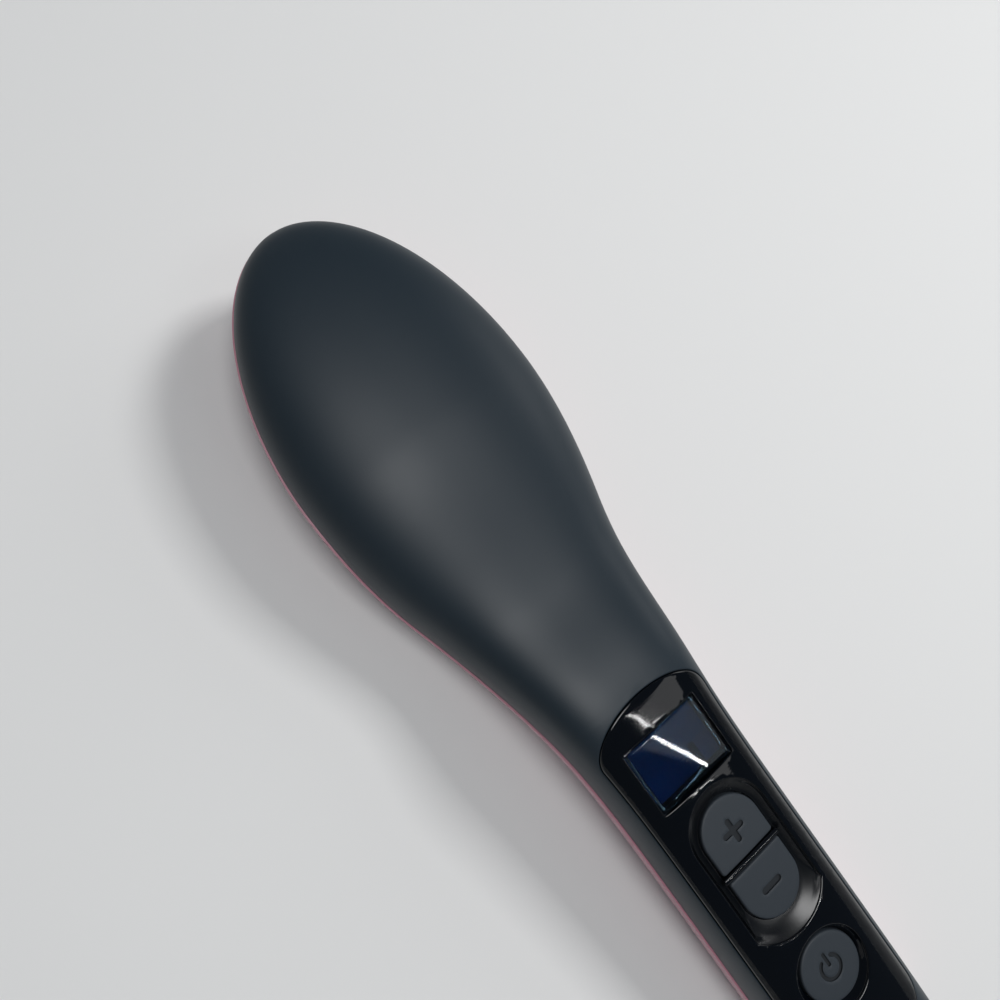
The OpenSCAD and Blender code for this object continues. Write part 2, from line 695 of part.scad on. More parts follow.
// The teeth of one column stay inside the plate; odd columns are shifted by half a pitch
function column_y(x) =
    let (odd = round(abs(x) / column_pitch) % 2 == 1 ? tooth_pitch / 2 : 0)
    [for (i = [-6:6])
        let (y = at(58) + i * tooth_pitch + odd, s = body_len / 2 - y,
             far = s < head_s ? s - tooth_l / 2 : s + tooth_l / 2)
        if (far > 20 && far < 105 && open_half(far, ring_w + seat_gap) > abs(x) + 2.4) y];
tooth_points = [for (x = column_x) for (y = column_y(x)) [x, y]];
tooth_low = 3.6;
tip_low = 0.6;
chamber_s0 = 30;
chamber_s1 = 96;
vent_s = [36, 45, 54, 63, 72, 81, 90];
plate_screw_points = [[0, 23.5], [16.9, 60], [-16.9, 60], [-5.5, 101]];

module heater_plate() {
    color("#d77f95") difference() {
        union() {
            translate([0, 0, plate_low]) linear_extrude(plate_t) open_outline(ring_w + seat_gap);
            for (p = plate_screw_points) translate([p[0], at(p[1]), 0])
                rod(2.2, plate_top - 0.5, shield_z);
        }
        for (s = vent_s) for (x = [-1, 1]) translate([x * column_pitch / 2, at(s), 0])
            rod(1, plate_low - 1, plate_top + 1);
        for (p = plate_screw_points) translate([p[0], at(p[1]), 0]) rod(1.25, plate_top, shield_z + 1);
    }
}

module comb_teeth() {
    color("#d77f95") for (p = tooth_points) translate([p[0], p[1], tooth_low])
        linear_extrude(plate_low - tooth_low) stadium(tooth_t, tooth_l);
}

module tooth_tips() {
    color("#1b1c1f") for (p = tooth_points) translate([p[0], p[1], 0]) {
        translate([0, 0, tip_low + 0.8]) linear_extrude(tooth_low - tip_low - 0.8)
            stadium(tooth_t + 0.6, tooth_l + 0.6);
        translate([0, 0, tip_low]) linear_extrude(0.8) stadium(tooth_t - 0.2, tooth_l - 0.4);
    }
}

flange_z = 16.4;
pin_mid = ring_w / 2 + seat_gap;
pin_rows = 15;
pin_points = concat(
    [for (i = [0:pin_rows - 1]) for (side = [-1, 1])
        let (s = rim_in + 4.5 + i * 6.6) [side * open_half(s, pin_mid), s]],
    [for (s = [rim_in + pin_mid, open_end_s - pin_mid]) [0, s]]);
module bristle_ring() {
    color("#17181b") difference() {
        union() {
            translate([0, 0, ring_low]) linear_extrude(flange_z - ring_low) open_outline(seat_gap);
            translate([0, 0, flange_z]) linear_extrude(1.2) open_outline(-1.4);
        }
        translate([0, 0, ring_low - 1]) linear_extrude(20) open_outline(ring_w);
        translate([0, 0, ring_low + 2]) linear_extrude(20) open_outline(1.8);
    }
}
module outer_pins() {
    color("#17181b") for (p = pin_points) translate([p[0], at(p[1]), 0]) union() {
        rod(pin_r, ball_r, ring_low);
        translate([0, 0, ball_r]) sphere(r = ball_r);
    }
}

ptc_z = plate_top;
ptc_x = 10;
ptc_w = 8;
ptc_t = 3;
module heating_element() {
    color("#8d8f94") for (side = [-1, 1]) translate([side * ptc_x, at(63), 0])
        slab([ptc_w, 60], ptc_z, ptc_z + ptc_t);
}
module frame_sheet(low, high) {
    translate([0, at(62.5), 0]) difference() {
        slab([28.8, 71], low, high);
        translate([0, -4, 0]) slab([11.6, 75], low - 1, high + 1);
    }
}
mica_z = ptc_z + ptc_t;
module mica_sheet() { color("#c9b48a") frame_sheet(mica_z, mica_z + sheet); }
module heater_clamp() {
    clamp_z = mica_z + sheet;
    color("silver") union() {
        frame_sheet(clamp_z, clamp_z + 0.8);
        for (x = [-ptc_x, ptc_x]) for (s = [42, 84]) translate([x, at(s), 0]) rod(2, clamp_z + 0.4, shield_z);
    }
}
module heat_shield() {
    color("#b9a98c") difference() {
        translate([0, 0, shield_z]) linear_extrude(shield_t) intersection() {
            open_outline(-rim_in + wall + 1.6);
            translate([-40, at(shield_end)]) square([80, shield_end]);
        }
        for (p = concat(shield_points, plate_screw_points)) translate([p[0], at(p[1]), 0])
            rod(screw_r + 0.2, shield_z - 1, shield_z + shield_t + 1);
    }
}
module shield_screws() {
    color("silver") for (p = shield_points) translate([p[0], at(p[1]), 0]) {
        rod(screw_head_r, shield_z - 1.8, shield_z);
        rod(screw_r, shield_z, shield_z + shield_t + 5);
    }
}
module plate_screws() {
    color("silver") for (p = plate_screw_points) translate([p[0], at(p[1]), 0]) {
        rod(2.3, shield_z + shield_t, shield_z + shield_t + 1.6);
        rod(1.2, plate_top + 1.5, shield_z + shield_t);
    }
}
module thermistor() { color("#2b2b2b") translate([6, at(100.5), plate_top + 1.1]) sphere(r = 1.1); }
module thermal_fuse() {
    color("silver") translate([16.2, at(66), plate_top + 1.7]) rotate([90, 0, 0]) cylinder(r = 1.7, h = 10);
}
module steam_chamber() {
    color("#9da1a6") translate([0, at((chamber_s0 + chamber_s1) / 2), 0]) difference() {
        union() {
            slab([11, chamber_s1 - chamber_s0], plate_top, plate_top + 4.4);
            translate([0, -(chamber_s1 - chamber_s0) / 2, plate_top + 2]) rotate([90, 0, 0])
                cylinder(r = 1.2, h = 4);
        }
        slab([9.8, chamber_s1 - chamber_s0 - 1.6], plate_top - 1, plate_top + 3.8);
        translate([0, -(chamber_s1 - chamber_s0) / 2 + 2, plate_top + 2]) rotate([90, 0, 0])
            cylinder(r = 0.6, h = 8);
    }
}

// ---- Water circuit in the neck ---------------------------------------------------------------

tank_x0 = -13;
tank_w = 22.5;
tank_s0 = 114.5;
tank_l = 18;
tank_z = 15.2;
tank_h = 11;
tank_wall = 1.2;
neck_low = 11.4;
module tank_box(grow, low, high) {
    translate([tank_x0 - grow, at(tank_s0 + tank_l) - grow, low])
        cube([tank_w + 2 * grow, tank_l + 2 * grow, high - low]);
}
module water_tank() {
    color([0.8, 0.86, 0.9, 0.6]) difference() {
        union() {
            tank_box(0, tank_z, tank_z + tank_h);
            translate([0, at(filler_s), 0]) rod(filler_r, neck_low, tank_z + 0.5);
            translate([-port_x, at(tank_s0 + tank_l) + 0.5, tank_z + 3]) rotate([90, 0, 0])
                cylinder(r = 1.2, h = 4);
        }
        tank_box(-tank_wall, tank_z + tank_wall, tank_z + tank_h + 1);
        translate([0, at(filler_s), 0]) rod(3.4, neck_low - 1, tank_z + 3);
        translate([-port_x, at(tank_s0 + tank_l) + 3, tank_z + 3]) rotate([90, 0, 0])
            cylinder(r = 0.6, h = 9);
    }
}
module tank_lid() {
    color([0.8, 0.86, 0.9, 0.6]) tank_box(0, tank_z + tank_h, tank_z + tank_h + 1);
}
plug_low = 9.6;
module filler_plug() {
    color("#b56f82") translate([0, at(filler_s), 0]) {
        difference() {
            union() {
                rod(plug_cap_r, plug_low, neck_low - 0.3);
                rod(3, neck_low - 0.4, tank_z - 0.4);
            }
            translate([0, 0, tank_z - 2]) difference() {
                rod(4, 0, 1);
                rod(2.2, -1, 2);
            }
        }
    }
}
module plug_seal() {
    color("#2c2c2c") translate([0, at(filler_s), tank_z - 2]) tube_ring(3.1, 2.2, 0, 1);
}

pump_s = 158;
pump_low = -23.4;
pump_h = 8.4;
port_x = 6.3;
port_y = up_grip(pump_s - 7) + 5;
module pump_head() {
    color("#dcdcd8") in_grip() union() {
        translate([0, up_grip(pump_s - 7), 0]) slab([18, 10], pump_low, pump_low + pump_h);
        for (x = [-port_x, port_x]) translate([x, port_y - 0.5, pump_low + 5]) rotate([-90, 0, 0])
            cylinder(r = 1.2, h = 4);
    }
}
module pump_motor() {
    color("silver") in_grip() translate([0, up_grip(pump_s - 7) - 5, pump_low + 4]) rotate([90, 0, 0])
        union() {
            cylinder(r = 4, h = 18);
            cylinder(r = 1.6, h = 19.5);
        }
}
hose_r = 1.9;
hose_bore = 1.3;
port_dir = [0, cos(tilt), sin(tilt)];
tank_port = [-port_x, at(tank_s0 + tank_l) - 1, tank_z + 3];
pump_in = from_grip([-port_x, port_y + 1, pump_low + 5]);
pump_out = from_grip([port_x, port_y + 1, pump_low + 5]);
chamber_port = [0, at(chamber_s1 + 1.5), plate_top + 2];
module suction_tube() {
    color([0.85, 0.85, 0.85])
        run([tank_port, tank_port - [0, 2.6, 0], pump_in + port_dir * 2.6, pump_in], hose_r, hose_bore);
}
module delivery_tube() {
    color([0.85, 0.85, 0.85])
        run([chamber_port, chamber_port - [0, 4, 0], [6.4, at(108.5), 19.2], [11.6, at(112.5), 20.8],
             [12.6, at(116), 21], [12.8, at(128), 20.4], [11.2, at(134), 19.2],
             pump_out + port_dir * 4.6, pump_out + port_dir * 2.6, pump_out], hose_r, hose_bore);
}

// Leads from the heater and the sensors past the tank to the boards
module heater_leads() {
    color("#a8322a") for (i = [0, 1]) {
        start = [-9.6 - 2.4 * i, at(93), ptc_z + 1.5];
        run([start, start - [0, 6, 0], [-12.8 - 2.6 * i, at(108), 18.7 + 1.2 * i],
             [-15.4, at(116), 18.8 + 2.3 * i], [-15.2, at(136), 18.4 + 2.3 * i],
             from_grip([-13, up_grip(172), low_top + 1.6 + 2 * i]),
             from_grip([-8.4, up_grip(179), low_top + 0.95 + 2 * i])], 0.9);
    }
}
module sensor_leads() {
    color("#f0f0ea") for (i = [0, 1]) {
        run([[7.45, at(101.2 - 1.3 * i), plate_top + 1.1],
             [9 + 1.4 * i, at(104.5 - i), 17.6], [15.4 + 0.3 * i, at(111.5 - i), 20.5 + 0.8 * i],
             [16.6, at(118), 22.4 + 1.4 * i], [15.8, at(138), 23.4 + 1.4 * i],
             from_grip([13.2, up_grip(148), board_top + 0.8 + 1.3 * i])], 0.55);
    }
}

// ---- Cord end ---------------------------------------------------------------------------------

swivel_z = (along(crown_line, tail_s)) / 2;
collar_len = 10;
collar_end_r = 9.6;
bearing_r = 8;
bearing_s0 = tail_s - 5;
collar_s1 = tail_s + collar_len;
module on_swivel(s) { translate([0, at(s), swivel_z]) rotate([90, 0, 0]) children(); }

// Closed outline of the tail section, with its belly cut flat on the table
function tail_ring(inset) =
    [for (i = [0:2 * ring_steps - 1])
        let (t = 180 * i / ring_steps, up = t < 180,
             n = up ? grip_round : belly_round,
             h = up ? rise(tail_s, inset) : drop(tail_s, inset))
        [half_w(tail_s, inset) * bulge(cos(t), n),
         max(0, section_z(tail_s, inset) + h * bulge(sin(t), n))]];
function round_ring(r) =
    [for (i = [0:2 * ring_steps - 1])
        let (t = 180 * i / ring_steps) [r * cos(t), swivel_z + r * sin(t)]];
module end_collar() {
    a = tail_ring(0);
    b = round_ring(collar_end_r);
    rows = [for (i = [0:5])
        let (t = 90 * i / 5, k = 1 - cos(t), s = tail_s + collar_len * sin(t))
        [for (j = [0:len(a) - 1])
            let (p = a[j] * (1 - k) + b[j] * k) [p[0], at(s), p[1]]]];
    k = len(a);
    body = [for (i = [0:4]) for (j = [0:k - 1])
        each patch(i * k + j, i * k + (j + 1) % k, (i + 1) * k + (j + 1) % k, (i + 1) * k + j)];
    color("#15191d") difference() {
        union() {
            polyhedron(points = [for (r = rows) each r],
                       faces = concat(body, [[for (j = [0:k - 1]) j]], [[for (j = [k - 1:-1:0]) 5 * k + j]]));
            on_swivel(bearing_s0) cylinder(r = bearing_r + 1.3, h = tail_s - bearing_s0 + 1);
        }
        on_swivel(bearing_s0 - 1) cylinder(r = bearing_r + screw_gap, h = collar_s1 - bearing_s0 + 2);
    }
}
module swivel_bearing() {
    color("#d9d6cc") on_swivel(bearing_s0) difference() {
        cylinder(r = bearing_r, h = collar_s1 - bearing_s0);
        translate([0, 0, -1]) cylinder(r = swivel_r + run_gap, h = collar_s1 - bearing_s0 + 2);
    }
}
module cord_swivel() {
    inner_flange = 2;
    gland_s = collar_s1 + 0.3;
    shaft_l = gland_s - bearing_s0 + 0.3;
    out_l = body_len - gland_s;
    color("#1a1c1f") on_swivel(bearing_s0 - 0.3 - inner_flange) difference() {
        rotate_extrude() polygon([
            [cord_r, 0], [bearing_r - 0.4, 0], [bearing_r - 0.4, inner_flange],
            [swivel_r, inner_flange], [swivel_r, inner_flange + shaft_l],
            [bearing_r, inner_flange + shaft_l], [bearing_r, inner_flange + shaft_l + 1.6],
            [bearing_r - 1.4, inner_flange + shaft_l + out_l / 2],
            [bearing_r - 2.8, inner_flange + shaft_l + out_l],
            [cord_r, inner_flange + shaft_l + out_l]]);
    }
}

back_shell();
front_shell();
control_panel();
lcd_window();
lcd_module();
lcd_holder();
main_board();
board_parts();
key_switches();
switch_stem_plus();
switch_stem_minus();
switch_stem_power();
plus_button();
minus_button();
power_button();
power_board();
power_capacitor();
triac();
line_fuse();
terminal_block();
housing_screws();
screw_caps();
board_screws();
heater_plate();
comb_teeth();
tooth_tips();
bristle_ring();
outer_pins();
heating_element();
mica_sheet();
heater_clamp();
heat_shield();
shield_screws();
plate_screws();
thermistor();
thermal_fuse();
steam_chamber();
water_tank();
tank_lid();
filler_plug();
plug_seal();
suction_tube();
delivery_tube();
pump_head();
pump_motor();
heater_leads();
sensor_leads();
end_collar();
swivel_bearing();
cord_swivel();
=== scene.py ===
import math

import bmesh
import bpy
from mathutils import Euler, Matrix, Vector
from mathutils.geometry import delaunay_2d_cdt


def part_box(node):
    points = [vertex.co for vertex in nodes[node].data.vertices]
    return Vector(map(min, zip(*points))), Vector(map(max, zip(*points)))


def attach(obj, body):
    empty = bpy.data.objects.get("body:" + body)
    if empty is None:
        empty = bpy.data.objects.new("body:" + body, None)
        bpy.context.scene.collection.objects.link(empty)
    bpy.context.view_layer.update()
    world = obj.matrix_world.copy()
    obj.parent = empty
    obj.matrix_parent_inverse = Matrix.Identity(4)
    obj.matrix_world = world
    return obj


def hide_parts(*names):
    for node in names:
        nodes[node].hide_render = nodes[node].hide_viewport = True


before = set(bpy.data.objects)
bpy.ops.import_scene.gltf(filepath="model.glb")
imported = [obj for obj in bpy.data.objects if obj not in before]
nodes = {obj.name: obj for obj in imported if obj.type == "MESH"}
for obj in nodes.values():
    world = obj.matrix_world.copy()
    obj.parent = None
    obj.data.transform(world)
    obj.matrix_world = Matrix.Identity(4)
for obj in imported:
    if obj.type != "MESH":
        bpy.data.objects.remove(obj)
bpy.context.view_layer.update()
MM = 0.001

# ---- Viewpoint -------------------------------------------------------------------------------
# A phone held over the neck of the brush, looking almost straight down with a slight roll.
# Its picture is three by four, so the square frame here is as tall as that picture.

CAMERA_AT = (-46.17, 52.48, 201.3)
CAMERA_TURN = (10.62, -12.36, -38.15)
SENSOR = 36.0
FOCAL = 27.04

eye = bpy.data.cameras.new("camera")
eye.sensor_width = SENSOR
eye.lens = FOCAL
eye.clip_start = 0.01
camera = bpy.data.objects.new("camera", eye)
camera.location = Vector(CAMERA_AT) * MM
camera.rotation_euler = Euler([math.radians(a) for a in CAMERA_TURN], "XYZ")
bpy.context.scene.collection.objects.link(camera)
bpy.context.scene.camera = camera
bpy.context.scene.view_settings.view_transform = "Standard"

# ---- Back shell ------------------------------------------------------------------------------
# Injection-moulded ABS, the side that faces up: soft black with a fine spark-eroded skin.
# It closes on the front shell along a parting line and carries a sunk bed for the panel.

BODY_LEN = 280.0
WALL = 2.2
PROUD = 0.4
SEAT_GAP = 0.15
SEAM_GAP = 0.05
HEAD_S, HEAD_W = 60.0, 68.6
SHOULDER_S, SHOULDER_W = 98.0, 58.4
NECK_S, NECK_W = 136.0, 42.0
GRIP_S, GRIP_W = 184.0, 37.8
TAIL_S, TAIL_W = 262.0, 37.2
HEAD_CROWN, DIP_CROWN, CREST_CROWN = 36.5, 31.5, 36.2
DIP_S, CREST_S = 107.0, 142.0
TILT = math.radians(5.5)
SLOPE = math.tan(TILT)
TIP_SEAM, HEAD_SEAM, DIP_SEAM, GRIP_SEAM_DROP = 26.0, 22.0, 15.5, 13.2
RIM_Z = 12.0
GRIP_T = 27.2
PANEL_S, PANEL_LEN, PANEL_W, PANEL_T = 139.0, 109.0, 31.0, 1.2
PANEL_ARCH, ARCH_ROUND = 10.0, 2.05
TIP_ROUND, TIP_ROUND_UP, TIP_ROUND_DOWN = 1.95, 2.6, 6.0

WIDTH_LINE = [(HEAD_S, HEAD_W / 2, 0), (SHOULDER_S, SHOULDER_W / 2, -0.29),
              (NECK_S, NECK_W / 2, -0.14), (GRIP_S, GRIP_W / 2, 0), (TAIL_S, TAIL_W / 2, -0.03)]
CROWN_LINE = [(0, HEAD_CROWN, 0), (HEAD_S, HEAD_CROWN, 0), (DIP_S, DIP_CROWN, 0),
              (CREST_S, CREST_CROWN, -SLOPE),
              (TAIL_S, CREST_CROWN - SLOPE * (TAIL_S - CREST_S), -SLOPE)]
SEAM_LINE = [(0, TIP_SEAM, 0), (HEAD_S, HEAD_SEAM, -0.04), (DIP_S, DIP_SEAM, 0),
             (CREST_S + 8, CREST_CROWN - SLOPE * 8 - GRIP_SEAM_DROP, -SLOPE / 2),
             (TAIL_S, CREST_CROWN - SLOPE * (TAIL_S - CREST_S) - GRIP_SEAM_DROP, -SLOPE)]
BELLY_TOP = CREST_CROWN - SLOPE * 8 - GRIP_T
BELLY_LINE = [(0, RIM_Z, 0), (DIP_S + 3, RIM_Z, 0), (CREST_S + 8, BELLY_TOP, -SLOPE),
              (CREST_S + 73, BELLY_TOP - SLOPE * 65, -SLOPE), (TAIL_S - 12, -1, 0),
              (TAIL_S, -1, 0)]
ROUND_LINE = [(0, 2.5, 0), (HEAD_S, 2.5, 0), (PANEL_S, 3.6, 0), (TAIL_S, 3.6, 0)]
RIM_LINE = [(0, 5.0, 0), (HEAD_S, 5.0, 0), (NECK_S, 2.4, 0), (TAIL_S, 2.4, 0)]
OVER_LINE = [(0, 1.0, 0), (HEAD_S, 1.0, 0), (CREST_S + 8, 3.5, 0), (TAIL_S, 3.5, 0)]


def at(s):
    return BODY_LEN / 2 - s


def along(line, s):
    i = 0
    while i < len(line) - 2 and s > line[i + 1][0]:
        i += 1
    a, b = line[i], line[i + 1]
    h = b[0] - a[0]
    t = min(max((s - a[0]) / h, 0.0), 1.0)
    return (a[1] * (2 * t ** 3 - 3 * t ** 2 + 1) + h * a[2] * (t ** 3 - 2 * t ** 2 + t)
            + b[1] * (3 * t ** 2 - 2 * t ** 3) + h * b[2] * (t ** 3 - t ** 2))


def fade(s, inset, n):
    """How a size closes down towards the rounded tip: 0 at the tip, 1 from the widest point."""
    if s >= HEAD_S:
        return 1.0
    return max(0.0, 1 - ((HEAD_S - s) / (HEAD_S - inset)) ** n) ** (1 / n)


def half_w(s, inset):
    if s >= HEAD_S:
        return along(WIDTH_LINE, s) - inset
    return (HEAD_W / 2 - inset) * fade(s, inset, TIP_ROUND)


def widest_z(s):
    return along(SEAM_LINE, s) - along(OVER_LINE, s)


def section_z(s, inset):
    return along(SEAM_LINE, s) - along(OVER_LINE, s) * fade(s, inset, TIP_ROUND_UP)


def rise(s, inset):
    return (along(CROWN_LINE, s) - widest_z(s) - inset + PROUD) * fade(s, inset, TIP_ROUND_UP)


def drop(s, inset):
    return (widest_z(s) - along(BELLY_LINE, s) - inset) * fade(s, inset, TIP_ROUND_DOWN)


def bulge(c, n):
    return math.copysign(abs(c) ** (2 / n), c)


def seam_angle(s, inset):
    full = along(CROWN_LINE, s) - widest_z(s) - inset + PROUD
    return math.asin((along(OVER_LINE, s) / full) ** (along(ROUND_LINE, s) / 2))


def back_z(x, s, inset=PROUD):
    """Height of the outer surface of the back shell, x across, at station s."""
    n = along(ROUND_LINE, s)
    w = half_w(s, inset)
    if w <= 0:
        return along(SEAM_LINE, s)
    return section_z(s, inset) + rise(s, inset) * max(0.0, 1 - (abs(x) / w) ** n) ** (1 / n)


def panel_half(s, grow=0.0):
    """Half the width of the panel's outline, grown outwards, at station s."""
    a, b = PANEL_S - grow, PANEL_S + PANEL_LEN + grow
    arch = PANEL_ARCH + grow
    e = min(s - a, b - s)
    half = along(WIDTH_LINE, s) + (PANEL_W - GRIP_W) / 2 + grow
    if e >= arch:
        return half
    return half * max(0.0, 1 - ((arch - e) / arch) ** ARCH_ROUND) ** (1 / ARCH_ROUND)


def mesh_piece(name, verts, faces, smooth=50.0):
    """A mesh object from millimetre points, welded, with its sides turned outwards."""
    bm = bmesh.new()
    points = [bm.verts.new(Vector(v) * MM) for v in verts]
    for f in faces:
        corners = []
        for i in f:
            if points[i] not in corners:
                corners.append(points[i])
        if len(corners) > 2:
            try:
                bm.faces.new(corners)
            except ValueError:
                pass
    bmesh.ops.remove_doubles(bm, verts=bm.verts, dist=0.002 * MM)
    bmesh.ops.dissolve_degenerate(bm, edges=bm.edges, dist=0.0005 * MM)
    bmesh.ops.recalc_face_normals(bm, faces=bm.faces)
    mesh = bpy.data.meshes.new(name)
    bm.to_mesh(mesh)
    bm.free()
    mesh.polygons.foreach_set("use_smooth", [True] * len(mesh.polygons))
    mesh.set_sharp_from_angle(angle=math.radians(smooth))
    piece = bpy.data.objects.new(name, mesh)
    bpy.context.scene.collection.objects.link(piece)
    return piece


def lattice(rows, ring=False):
    """Points and quads of a grid of rows of equal length, closed round where ring is set."""
    n = len(rows[0])
    verts = [p for row in rows for p in row]
    faces = [[i * n + j, i * n + (j + 1) % n, (i + 1) * n + (j + 1) % n, (i + 1) * n + j]
             for i in range(len(rows) - 1) for j in range(n if ring else n - 1)]
    return verts, faces


def joined(*parts):
    """Several lists of points and faces as one."""
    verts, faces = [], []
    for v, f in parts:
        faces += [[i + len(verts) for i in face] for face in f]
        verts += v
    return verts, faces


def spread(a, b, count):
    return [a + (b - a) * i / count for i in range(count + 1)]


def eased(a, b, count):
    """Stations from a to b, drawn together towards a."""
    return [a + (b - a) * (1 - math.cos(math.pi / 2 * i / count)) for i in range(count + 1)]


def quarter(steps=4):
    """Sine and one less cosine at even angles of a quarter turn, for rounded edges."""
    return [(math.sin(a), 1 - math.cos(a)) for a in spread(0, math.pi / 2, steps)]


COLUMNS = 44
TIP_ROWS, HEAD_ROWS, ARCH_ROWS, PANEL_ROWS, TAIL_ROWS = 40, 46, 30, 40, 6
EDGE_R = 0.35


def panel_stations(grow, rows=PANEL_ROWS):
    """Stations along the panel's outline grown outwards, close together at both arches."""
    a, b, arch = PANEL_S - grow, PANEL_S + PANEL_LEN + grow, PANEL_ARCH + grow
    return (eased(a, a + arch, ARCH_ROWS) + spread(a + arch, b - arch, rows)[1:]
            + eased(b, b - arch, ARCH_ROWS)[::-1][1:])


def stations(inset, gap):
    """Stations of the rows from tip to tail, with a close set at the panel's arches."""
    return (eased(inset, HEAD_S, TIP_ROWS) + spread(HEAD_S, PANEL_S - gap, HEAD_ROWS)[1:]
            + panel_stations(gap)[1:] + spread(PANEL_S + PANEL_LEN + gap, TAIL_S, TAIL_ROWS)[1:])


DISPLAY_S, DISPLAY_W, DISPLAY_L = 156.2, 22.0, 17.0
KEYS_S, KEYS_W, KEYS_L = 186.8, 16.6, 32.2
POWER_S, POWER_R = 220.4, 8.3
DISH_R = POWER_R + 1.6
PANEL_LAND = 3.1
MID_S = PANEL_S + PANEL_LEN / 2
MID_Z = along(CROWN_LINE, MID_S)


def up_grip(s):
    return (MID_S - s) / math.cos(TILT)


def from_grip(x, y, z):
    """A point of the grip's own frame, whose Z stands square to the panel."""
    return (x, at(MID_S) + y * math.cos(TILT) - z * math.sin(TILT),
            MID_Z + y * math.sin(TILT) + z * math.cos(TILT))


def to_grip(point):
    """A point of the shared frame in the grip's own frame."""
    y, z = point[1] - at(MID_S), point[2] - MID_Z
    return (point[0], y * math.cos(TILT) + z * math.sin(TILT), z * math.cos(TILT) - y * math.sin(TILT))


def level(loop, z):
    """A flat loop of the grip's frame as points at height z of that frame."""
    return [from_grip(x, y, z) for x, y in loop]


def on_back(x, y, down=0.0):
    """The point of the back that lies at x, y of the grip's frame."""
    height = 0.0
    for _ in range(3):
        world_y = at(MID_S) + y * math.cos(TILT) - height * math.sin(TILT)
        z = back_z(x, BODY_LEN / 2 - world_y)
        height = (z - MID_Z - y * math.sin(TILT)) / math.cos(TILT)
    return (x, world_y, z - down)


def draped(loop, down):
    """A flat loop of the grip's frame laid on the back, sunk by down."""
    return [on_back(x, y, down) for x, y in loop]


BED_DISPLAY, BED_KEYS, BED_POWER, BED_MEET, BED_CUT = 2.15, 4.15, 3.75, 2.0, (-6, 2)
SCREW_STATIONS = (CREST_S - 2.5, TAIL_S - 21)
SHIELD_POINTS = ((19, 42), (18, 84))
BOSS_R, SCREW_R, SHIELD_TOP = 3.0, 1.55, 21.2


def well_windows():
    """The holes through the bed of the panel, for the display, the keys and the power key."""
    display, power = up_grip(DISPLAY_S), up_grip(POWER_S)
    meet, foot = display - DISPLAY_L / 2 - BED_MEET, power + DISH_R + PANEL_LAND - BED_MEET
    loops = [[(-w, mid - h), (w, mid - h), (w, mid + h), (-w, mid + h)] for mid, w, h in
             ((display, DISPLAY_W / 2 + BED_DISPLAY, DISPLAY_L / 2 + BED_DISPLAY),
              ((meet + foot) / 2, KEYS_W / 2 + BED_KEYS, (meet - foot) / 2 + SEAT_GAP))]
    loops.append(round_loop(0, power, POWER_R + BED_POWER, 64))
    return [mesh_piece("window", *stack([level(loop, z) for z in BED_CUT])) for loop in loops]


def boss(x, s, mouth, root, r=BOSS_R):
    """A screw boss: a tube that opens at its mouth and is closed at its root in the wall."""
    blind = mouth + (root - mouth) * 0.9
    return lathe(((SCREW_R, blind), (SCREW_R, mouth), (r, mouth), (r, root)), x, at(s), 32)


def back_half(s, inset, gap, lift=0.0):
    """One row of the back, from the parting line up to the middle or the panel's bed."""
    n, w = along(ROUND_LINE, s), half_w(s, inset)
    low = seam_angle(s, inset)
    inside = PANEL_S - gap <= s <= PANEL_S + PANEL_LEN + gap
    stop = panel_half(s, gap) if inside and gap >= 0 else 0.0
    high = math.acos(min(1.0, (stop / w) ** (n / 2))) if w > 0 else math.pi / 2
    row = []
    for j in range(COLUMNS + 1):
        t = low + (high - low) * (j / COLUMNS)
        row.append((w * bulge(math.cos(t), n), at(s),
                    section_z(s, inset) + rise(s, inset) * bulge(math.sin(t), n) + lift))
    return row


def cut(piece, *cutters):
    """Takes the cutters' volumes out of the piece."""
    for tool in cutters:
        step = piece.modifiers.new("cut", "BOOLEAN")
        step.operation, step.solver, step.object = "DIFFERENCE", "EXACT", tool
    bpy.context.view_layer.update()
    solid = piece.evaluated_get(bpy.context.evaluated_depsgraph_get())
    mesh = bpy.data.meshes.new_from_object(solid)
    piece.modifiers.clear()
    piece.data = mesh
    for tool in cutters:
        bpy.data.objects.remove(tool)
    mesh.set_sharp_from_angle(angle=math.radians(40))


def round_loop(x, y, r, count=96):
    return [(x + r * math.cos(2 * math.pi * i / count), y + r * math.sin(2 * math.pi * i / count))
            for i in range(count)]


def flat(loop, z):
    return [(x, y, z) for x, y in loop]


def circle(r, z, x=0.0, y=0.0, count=64):
    return flat(round_loop(x, y, r, count), z)


def stack(loops):
    """A closed skin through loops of equal length, with flat ends."""
    verts, faces = lattice(loops, ring=True)
    n = len(loops[0])
    return verts, faces + [list(range(n)), list(range((len(loops) - 1) * n, len(loops) * n))]


def lathe(profile, x, y, count=48):
    """A turned form round a vertical line, from pairs of radius and height."""
    return stack([circle(max(r, 0.01), z, x, y, count) for r, z in profile])


def mirrored(part):
    verts, faces = part
    return [(-x, y, z) for x, y, z in verts], [f[::-1] for f in faces]


